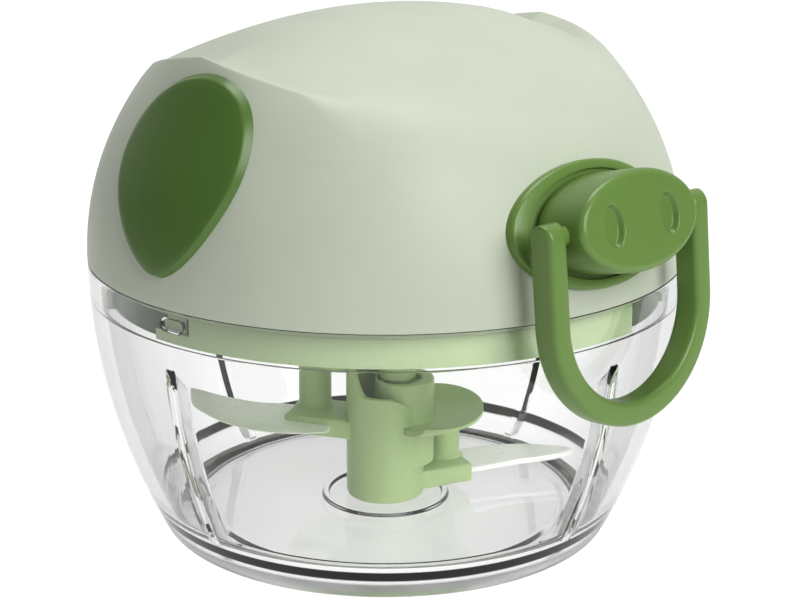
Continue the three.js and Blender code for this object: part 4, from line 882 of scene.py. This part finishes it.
def make_lead():
    """The cord between eyelet and knot, which is paid out when the snout is pulled."""
    steps = 20
    rings = [along_pull(oval(CORD_D / 2, CORD_D / 2, steps), reach) for reach in np.linspace(*LEAD_ENDS, 90)]
    cord = piece("cord_lead_braided", Shell().tube(rings), CORD, None, ["cord_lead"])
    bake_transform(cord)
    return cord


# Pull ring

RING_PIVOT = 48.32
RING_HALF_W = 15.9
RING_BAR_W = 3.2
RING_BAR_D = 4
RING_BOW_W = 3.4
RING_ROUND_SHARE = 0.42
RING_STRAIGHT = 11.8
RING_LEAN = 6
STUB_R = 1.3
STUB_REACH = 2.1


def make_ring():
    outer_r, inner_r = RING_HALF_W, RING_HALF_W - RING_BAR_W
    stations = []  # outer point, inner point, half depth
    half = RING_BAR_D / 2
    for t in np.linspace(0, 1, 11):
        rise = half * math.sin((1 - t) * math.pi / 2) * 0.985
        depth = math.sqrt(half ** 2 - rise ** 2)
        stations.append(((-outer_r, rise), (-inner_r, rise), depth))
    for t in np.linspace(0, 1, 10)[1:]:
        stations.append(((-outer_r, -RING_STRAIGHT * t), (-inner_r, -RING_STRAIGHT * t), half))
    for t in np.linspace(0, 1, 61)[1:]:
        angle = math.pi * (1 + t)
        c, s = math.cos(angle), math.sin(angle)
        stations.append(((outer_r * c, outer_r * s - RING_STRAIGHT),
                         (inner_r * c, (outer_r - RING_BOW_W) * s - RING_STRAIGHT), half))
    mirrored = [((-o[0], o[1]), (-i[0], i[1]), d) for o, i, d in stations[:20][::-1]]
    stations += mirrored[1:]
    section = []
    for across, deep, start in ((1, 1, 0), (-1, 1, 90), (-1, -1, 180), (1, -1, 270)):
        for t in np.linspace(0, 1, 6):
            angle = math.radians(start + 90 * t)
            section.append((mix(across, math.cos(angle), RING_ROUND_SHARE),
                            mix(deep, math.sin(angle), RING_ROUND_SHARE)))
    rings = []
    for outer, inner, depth in stations:
        outer, inner = np.array(outer), np.array(inner)
        middle, reach = (outer + inner) / 2, (outer - inner) / 2
        rings.append([(*(middle + reach * a), depth * b) for a, b in section])
    rings = np.array(rings)[:, :, [0, 2, 1]]
    shell = Shell().tube(rings)
    for side in (-1, 1):
        shell.tube([[(side * x, y, z) for y, z in oval(STUB_R, STUB_R, 24)]
                    for x in (inner_r + 0.5, inner_r - STUB_REACH + 0.2)])
    lean = math.radians(RING_LEAN)
    turn = np.array([[1, 0, 0], [0, math.cos(lean), -math.sin(lean)], [0, math.sin(lean), math.cos(lean)]])
    pivot = along_pull([(0, 0)], RING_PIVOT)[0]
    shell.moved(lambda p: p @ turn + pivot)
    return piece("pull_ring_green", shell, LEAF, "ring", ["pull_ring"])


# Lid base

BASE_FLOOR_Z = 43
BASE_TOP_Z = 44.6
SKIRT_BOTTOM_Z = 37.05
SKIRT_T = 2.3
SKIRT_R = 42.73
BASE_R_TOP = 42.5
SEAL_GROOVE_Z = 41.1
SEAL_GROOVE_DEPTH = 1.2
SLOT_DEPTH = 0.95
SLOT_TOP_Z = 41
SLOT_BOTTOM_Z = 38.6
SLOT_END_ANGLE = 3.6
LUG_BACK_ANGLE = 2.5  # the slot's floor is raised behind each lug
LUG_BACK_DEPTH = 0.5
SLOT_ENTRY_ANGLES = (-26.6, -5.2)
BEARING_R = 5.6
BEARING_BOTTOM_Z = 38.4
SHAFT_R = 2.8


def make_lid_base():
    edge = 0.06
    offsets = []
    for place in (*SLOT_ENTRY_ANGLES, -LUG_BACK_ANGLE, LUG_BACK_ANGLE, SLOT_END_ANGLE):
        offsets += [place - edge, place + edge]
    azimuths = columns(240, [(t, offsets) for t in LUG_TURNS])
    inner = SKIRT_R - SKIRT_T
    groove_r = SKIRT_R - SEAL_GROOVE_DEPTH
    bore = SHAFT_R + 0.3
    profile = filleted([
        (bore, BASE_TOP_Z),
        (bore, BEARING_BOTTOM_Z, 0.3),
        (BEARING_R, BEARING_BOTTOM_Z, 0.4),
        (BEARING_R, BASE_FLOOR_Z, 0.5),
        (inner, BASE_FLOOR_Z, 0.5),
        (inner, SKIRT_BOTTOM_Z, 0.3),
        (SKIRT_R, SKIRT_BOTTOM_Z, 0.25),
    ], 3)
    heights = np.unique(np.round(np.concatenate([
        np.linspace(SKIRT_BOTTOM_Z + 0.3, SEAL_GROOVE_Z, 10),
        [SLOT_BOTTOM_Z - edge, SLOT_BOTTOM_Z + edge, SLOT_TOP_Z - edge, SLOT_TOP_Z + edge / 2],
    ]), 3))
    outside = np.stack([np.full(len(heights), SKIRT_R), heights], -1)
    upper = np.array([
        (groove_r, SEAL_GROOVE_Z),
        (groove_r, BASE_FLOOR_Z),
        (BASE_R_TOP, BASE_FLOOR_Z),
        (BASE_R_TOP, BASE_TOP_Z),
    ])
    profile = np.vstack([profile, outside, upper])
    r, z = spread(profile, len(azimuths))
    on_skirt = (r > SKIRT_R - 1) & (z < SLOT_TOP_Z)
    for turn in LUG_TURNS:
        off = off_turn(azimuths, turn)[:, None]
        entry = (off > SLOT_ENTRY_ANGLES[0]) & (off < SLOT_ENTRY_ANGLES[1])
        locking = (off >= SLOT_ENTRY_ANGLES[1]) & (off < SLOT_END_ANGLE) & (z > SLOT_BOTTOM_Z)
        r = np.where(on_skirt & (entry | locking), np.minimum(r, SKIRT_R - SLOT_DEPTH), r)
        behind = (np.abs(off) < LUG_BACK_ANGLE) & on_skirt & locking
        r = np.where(behind, SKIRT_R - LUG_BACK_DEPTH, r)
    return piece("lid_base_pale", Shell().polar(azimuths, r, z), BASE, "lid", ["lid_base"], sharp=30)


def make_seal():
    inner, outer = SKIRT_R - SEAL_GROOVE_DEPTH + 0.3, float(bowl_radius(SEAL_GROOVE_Z)) - RIM_WALL - 0.3
    bottom, top = SEAL_GROOVE_Z + 0.06, BASE_FLOOR_Z - 0.1
    profile = filleted([
        (inner, bottom),
        (outer - 0.1, bottom, 0.1),
        (outer, (bottom + top) / 2, 0.3),
        (outer - 0.1, top, 0.1),
        (inner, top),
    ])
    return piece("seal_ring_silicone", Shell().turned(profile, 192), SEAL, "carrier", ["seal_ring"])


# Cutter

HUB_R = 6.15
HUB_WALL = 1.1
HUB_BOTTOM_Z = 2.5
HUB_FLOOR_Z = 13
HUB_BACK_Z = 25
HUB_SHELF_Z = 19.5
HUB_CUT_Z = 14.3
HUB_SHELF_ANGLES = (-125, -72)
HUB_SPIRAL_ANGLES = (-38, 31)
HUB_STEP_ANGLE = 100
BOSS_TURN = 48  # azimuth of the hub's boss and of the drive's peg, both off the axis
BOSS_R = 4.67
BOSS_PLACE = 2.97
BOSS_BOTTOM_Z = 8
BOSS_TOP_Z = 21.3
BOSS_ROUND = 0.3
PEG_ROOM_R = 3.4
PEG_ROOM_PLACE = 2.2
PEG_ROOM_Z = 20.3
SOCKET_R = 2.4
SOCKET_Z = 13.8
PEG_R = 2.9
PEG_PLACE = 1.9
PEG_END_Z = 21.2
PEG_ROUND = 0.5
PEG_TAPER = 1.9
HEX_R = 2.1
HEX_BOTTOM_Z = 14.5
SHAFT_END_Z = 25.5
RATCHET_Z = 44.9
RATCHET_T = 2
RATCHET_R = 8.6
RATCHET_TOOTH = 1.4
RATCHET_TOOTH_COUNT = 10
LOWER_ARM_Z = 3.4
UPPER_ARM_Z = 11.9
ARM_T = 3
ARM_W = 9
ARMS = (  # angle from +X, underside's height, reach, place of the post
    (-18, LOWER_ARM_Z, 13.3, (10.8, 1.3)),
    (120, UPPER_ARM_Z, 15.4, (12.4, -1.8)),
)
POST_R = 2.6
DISH_RISE = 8.4
DISH_T = 1.1
DISH_DEPTH = 1.9
DISH_R = 15.4
DISH_THINNING = 0.55
DISH_TAPER = 0.3
DISH_START = -86
DISH_END = 29
BLADE_T = 0.9
BLADE_SECTION = ((0, 0.5), (0.02, 0.94), (0.06, 1), (0.45, 1), (0.82, 1), (0.86, 0.94), (1, 0.12))
BLADES = (  # node, angle from +X, middle's height, rise to the tip, back edge, cutting edge
    ("blade_lower", -22, LOWER_ARM_Z + ARM_T / 2, 0.5,
     ((8.2, -3), (17, -2.8), (22, -2.7), (28, -3.3), (32, -2.6)),
     ((8.2, 5), (14, 6), (20, 5.8), (26, 4), (30, 0.8), (32, -1.8))),
    ("blade_upper", 125, UPPER_ARM_Z + ARM_T / 2, 2.3,
     ((8.2, -4.2), (17, -3.8), (22, -2.4), (28, -2), (32.9, -2.1)),
     ((8.2, 5.4), (14, 7.6), (20, 8.2), (26, 6.8), (31, 3.4), (32.9, -0.6))),
)


def hub_top(azimuths):
    """The hub's wall falls from its back to a shelf and then along a spiral to its lowest place."""
    azimuths = off_turn(azimuths, 0)
    shelf_from, shelf_to = HUB_SHELF_ANGLES
    spiral_from, spiral_to = HUB_SPIRAL_ANGLES
    to_shelf = mix(HUB_BACK_Z, HUB_SHELF_Z, smooth(azimuths, shelf_from, shelf_to))
    fall = np.clip((azimuths - spiral_from) / (spiral_to - spiral_from), 0, 1) ** 1.6
    height = np.where(azimuths < shelf_to, to_shelf, mix(HUB_SHELF_Z, HUB_CUT_Z, fall))
    return np.where(azimuths > HUB_STEP_ANGLE, HUB_BACK_Z, height)


def off_axis(steps, radius, distance, z, sides=0):
    """A level ring of so many points beside the axis, round or with flat sides."""
    angle = np.arange(steps) * 2 * math.pi / steps
    r = np.full(steps, float(radius))
    if sides:
        half = math.pi / sides
        r = radius * math.cos(half) / np.cos(np.mod(angle, 2 * half) - half)
    turn = math.radians(BOSS_TURN)
    x = math.sin(turn) * distance + r * np.cos(angle)
    y = -math.cos(turn) * distance + r * np.sin(angle)
    return np.stack([x, y, np.full(steps, float(z))], -1)


def make_hub():
    shell = Shell()
    azimuths = columns(180, [(HUB_STEP_ANGLE, np.linspace(-0.3, 0.3, 5))])
    top = hub_top(azimuths)[:, None]
    inner = HUB_R - HUB_WALL
    low = HUB_BOTTOM_Z
    wall = (
        (0, low), (HUB_R - 0.5, low), (HUB_R - 0.15, low + 0.15), (HUB_R, low + 0.5),
        (HUB_R, mix(low + 0.5, top - 0.15, 0.5)), (HUB_R, top - 0.15), (HUB_R - 0.12, top),
        (inner + 0.12, top), (inner, top - 0.15), (inner, HUB_FLOOR_Z), (0, HUB_FLOOR_Z),
    )
    r = np.hstack([np.full_like(top, place) for place, _ in wall])
    z = np.hstack([np.full_like(top, 1) * height for _, height in wall])
    shell.polar(azimuths, r, z)
    rings = [(BOSS_R, BOSS_PLACE, BOSS_BOTTOM_Z), (BOSS_R, BOSS_PLACE, BOSS_TOP_Z - BOSS_ROUND)]
    for t in np.linspace(0, math.pi / 2, 5)[1:]:
        rings.append((BOSS_R - BOSS_ROUND * (1 - math.cos(t)), BOSS_PLACE,
                      BOSS_TOP_Z - BOSS_ROUND * (1 - math.sin(t))))
    rings += [
        (PEG_ROOM_R + 0.15, PEG_ROOM_PLACE, BOSS_TOP_Z),
        (PEG_ROOM_R, PEG_ROOM_PLACE, BOSS_TOP_Z - 0.15),
        (PEG_ROOM_R, PEG_ROOM_PLACE, PEG_ROOM_Z),
        (SOCKET_R, PEG_PLACE, PEG_ROOM_Z, 6),
        (SOCKET_R, PEG_PLACE, SOCKET_Z, 6),
    ]
    shell.tube([off_axis(72, *ring) for ring in rings])
    for turn, z, reach, post in ARMS:
        part = Shell()
        add_arm(part, z, reach, post)
        add_dish(part, z + ARM_T + DISH_RISE)
        shell.take(part.moved(turned_about_z(turn)))
    return piece("cutter_hub_pale", shell, PALE, "cutter", ["cutter_hub"], sharp=32)


def rounded_block(shell, low, high, fillet):
    """A block whose edges and corners are all rounded."""
    low, high = np.array(low, float), np.array(high, float)
    middle, half = (low + high) / 2, (high - low) / 2
    rows, around = 13, 40
    rings = []
    for i in range(rows):
        lift = math.sin(math.pi * (i / (rows - 1) - 0.5))
        width = math.cos(math.pi * (i / (rows - 1) - 0.5))
        ring = []
        for j in range(around):
            angle = 2 * math.pi * (j + 0.5) / around
            ball = np.array([width * math.cos(angle), width * math.sin(angle), lift])
            ring.append(middle + np.sign(ball) * (half - fillet) + ball * fillet)
        rings.append(ring)
    shell.tube(rings)


def add_arm(shell, z, reach, post_place):
    half = ARM_W / 2
    rounded_block(shell, (3, -half, z), (reach, half, z + ARM_T), 0.45)
    top = z + ARM_T + DISH_RISE
    post = Shell().turned(filleted([
        (0, z + 0.6),
        (POST_R + 0.7, z + ARM_T - 0.3),
        (POST_R, z + ARM_T + 0.5, 0.4),
        (POST_R, top),
        (0, top),
    ]), 48)
    shell.take(post.moved(lambda p: p + (*post_place, 0)))


def add_dish(shell, z):
    """The scoop over an arm: a shallow curved shell round part of the hub."""
    inner = HUB_R - 0.6
    us, vs = np.linspace(0, 1, 61), np.linspace(0, 1, 15)
    u, v = np.meshgrid(us, vs, indexing="ij")
    reach = DISH_R - (DISH_R - inner) * DISH_TAPER * np.abs(2 * u - 1) ** 4
    r = mix(inner, reach, v)
    angle = np.radians(mix(DISH_START, DISH_END, u))
    thin = DISH_T * (1 - DISH_THINNING * v)
    top = np.stack([r * np.cos(angle), r * np.sin(angle), z + DISH_DEPTH * v ** 2.4], -1)
    bottom = top - thin[..., None] * (0, 0, 1)
    rings = np.concatenate([top, bottom[:, ::-1]], 1)
    shell.tube(rings)


def make_blade(node, turn, z, rise, back, front):
    steps = 48
    root, reach = back[0][0], back[-1][0]
    back, front = curve_through(back, steps), curve_through(front, steps)
    across = [(share, half * BLADE_T / 2) for share, half in BLADE_SECTION]
    rings = []
    for b, f in zip(back, front):
        ring = []
        for sign in (1, -1):
            for share, half in across if sign > 0 else across[::-1]:
                x, y = mix(b, f, share)
                lift = rise * ((x - root) / (reach - root)) ** 2
                ring.append((x, y, z + lift + sign * half))
        rings.append(ring)
    shell = Shell().tube(rings).moved(turned_about_z(turn))
    return piece(node + "_steel", shell, BLADE, "cutter", [node], sharp=25)


def make_shaft():
    shell = Shell().turned(filleted([
        (0, SHAFT_END_Z),
        (SHAFT_R, SHAFT_END_Z, 0.4),
        (SHAFT_R, RATCHET_Z + RATCHET_T / 2),
        (0, RATCHET_Z + RATCHET_T / 2),
    ]), 64)
    steps = 60
    peg_top = SHAFT_END_Z + PEG_R
    rings = []
    for t in np.linspace(0, math.pi / 2, 5):
        rings.append((PEG_R - PEG_ROUND * (1 - math.sin(t)), PEG_PLACE,
                      PEG_END_Z + PEG_ROUND * (1 - math.cos(t))))
    for t in np.linspace(0, 1, 9):
        rings.append((PEG_R - t * PEG_TAPER, PEG_PLACE * (1 - t), peg_top - PEG_R * (1 - t) ** 0.6))
    shell.tube([off_axis(steps, *ring) for ring in rings])
    hexagon = ((HEX_R - 0.25, HEX_BOTTOM_Z), (HEX_R, HEX_BOTTOM_Z + 0.25), (HEX_R, PEG_END_Z + 1))
    shell.tube([off_axis(steps, r, PEG_PLACE, z, 6) for r, z in hexagon])
    teeth = []
    for i in range(RATCHET_TOOTH_COUNT):
        for share, drop in ((0, 1), (0.5, 0.5), (0.97, 0)):
            r = RATCHET_R - drop * RATCHET_TOOTH
            angle = 2 * math.pi * (i + share) / RATCHET_TOOTH_COUNT
            teeth.append((r * math.cos(angle), r * math.sin(angle)))
    shell.tube([[(x, y, z) for x, y in teeth] for z in (RATCHET_Z, RATCHET_Z + RATCHET_T)])
    return piece("drive_shaft_pale", shell, PALE, "drive", ["drive_shaft"], sharp=30)


# Stage and light

FLOOR_SIZE = 6
FLOOR_DROP = 0.0002
FLOOR_BASE = (0.15, 0.15, 0.15, 1)
FLOOR_POOL = (0.2, 0.7)  # metres across and behind over which the floor glows, seen by the camera
FLOOR_POOL_BACK = 0.3
FLOOR_POOL_FADE = 3
FLOOR_GLOW = 0.93
FLOOR_DIM = 0.42
WORLD_TURN = 138  # azimuth of the studio's bright side
WORLD_LIFT = 0.3
WORLD_EDGE = 0.1
WORLD_BRIGHT = 0.8
WORLD_DIM = 0.14
VIEW_GAMMA = 0.85
LAMP_TARGET = Vector((0, 0, 0.04))
LAMPS = (  # name, place as from_camera takes it, size, power
    ("key", (0.48, -0.64, 0.52), (0.6, 0.6), 7),
    ("top", (0.05, 0.15, 0.85), (0.5, 0.4), 3.6),
    ("rim", (-0.5, 0.7, 0.4), (0.4, 0.6), 0.3),
)


def from_camera(right, back, up):
    """A place given in metres to the right of, behind and above the object, seen by the camera."""
    turn = math.radians(CAMERA_TURN)
    across = Vector((math.cos(turn), math.sin(turn), 0))
    depth = Vector((-math.sin(turn), math.cos(turn), 0))
    return across * right + depth * back + Vector((0, 0, up))


def make_stage():
    nodes, where, shader = start_material("pale_floor")
    shader.inputs["Base Color"].default_value = FLOOR_BASE
    shader.inputs["Roughness"].default_value = 0.7
    shader.inputs["Specular IOR Level"].default_value = 0.2
    shader.inputs["Emission Color"].default_value = (1, 1, 1, 1)
    pool = nodes.add("ShaderNodeCombineXYZ")
    places = (from_camera(1, 0, 0) / FLOOR_POOL[0], from_camera(0, 1, 0) / FLOOR_POOL[1])
    for direction, back, socket in zip(places, (0, FLOOR_POOL_BACK / FLOOR_POOL[1]), ("X", "Y")):
        along = projected(nodes, where, direction)
        shifted = nodes.add("ShaderNodeMath", operation="SUBTRACT")
        nodes.join(along, shifted.inputs[0])
        shifted.inputs[1].default_value = back
        nodes.join(shifted.outputs["Value"], pool.inputs[socket])
    distance = level_radius(nodes, pool.outputs["Vector"])
    glow = ramp(nodes, distance, 1, FLOOR_POOL_FADE, FLOOR_GLOW, FLOOR_DIM)
    nodes.join(glow, shader.inputs["Emission Strength"])
    nodes.finish(shader.outputs["BSDF"])
    mesh = bpy.data.meshes.new("floor")
    half = FLOOR_SIZE / 2
    corners = ((-half, -half), (half, -half), (half, half), (-half, half))
    mesh.from_pydata([(x, y, -FLOOR_DROP) for x, y in corners], [], [(0, 1, 2, 3)])
    mesh.materials.append(nodes.owner)
    floor = bpy.data.objects.new("floor", mesh)
    bpy.context.scene.collection.objects.link(floor)


def make_light():
    world = bpy.data.worlds.new("studio")
    bpy.context.scene.world = world
    nodes = Nodes(world)
    turn = math.radians(WORLD_TURN)
    view = nodes.add("ShaderNodeTexCoord").outputs["Generated"]
    facing = projected(nodes, view, (math.sin(turn), -math.cos(turn), WORLD_LIFT))
    background = nodes.add("ShaderNodeBackground", Color=(1, 1, 1, 1))
    strength = ramp(nodes, facing, WORLD_EDGE, 1, WORLD_DIM, WORLD_BRIGHT)
    nodes.join(strength, background.inputs["Strength"])
    nodes.finish(background.outputs["Background"], "World")
    for name, place, size, power in LAMPS:
        data = bpy.data.lights.new(name, "AREA")
        data.shape = "RECTANGLE"
        data.size, data.size_y = size
        data.energy = power
        light = bpy.data.objects.new(name, data)
        light.location = from_camera(*place)
        light.rotation_euler = (from_camera(*place) - LAMP_TARGET).to_track_quat("Z", "Y").to_euler()
        bpy.context.scene.collection.objects.link(light)


make_bowl()
make_cover()
make_inlay(-1, "ear_inlay_left")
make_inlay(1, "ear_inlay_right")
make_collar()
make_snout()
make_lead()
make_ring()
make_lid_base()
make_seal()
make_hub()
make_shaft()
for blade in BLADES:
    make_blade(*blade)

# CAD nodes that stay as they are, inside the lid or under the hub

KEPT = {
    STEEL: ["pivot_pin", "reel_axle", "spiral_spring", "cord_eyelet"]
    + [f"{kind}_screw_{i}" for kind in ("cover", "bridge") for i in (1, 2, 3)],
    WHITE: ["reel_bridge", "cord_reel", "pawl_front", "pawl_back", "snout_plug"],
    CORD: ["cord_winding", "cord_knot"],
}
for look, names in KEPT.items():
    for name in names:
        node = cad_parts[name]
        node.data.materials.clear()
        node.data.materials.append(look.material)

make_stage()
make_light()
bpy.context.scene.view_settings.view_transform = "Standard"
bpy.context.scene.view_settings.gamma = VIEW_GAMMA
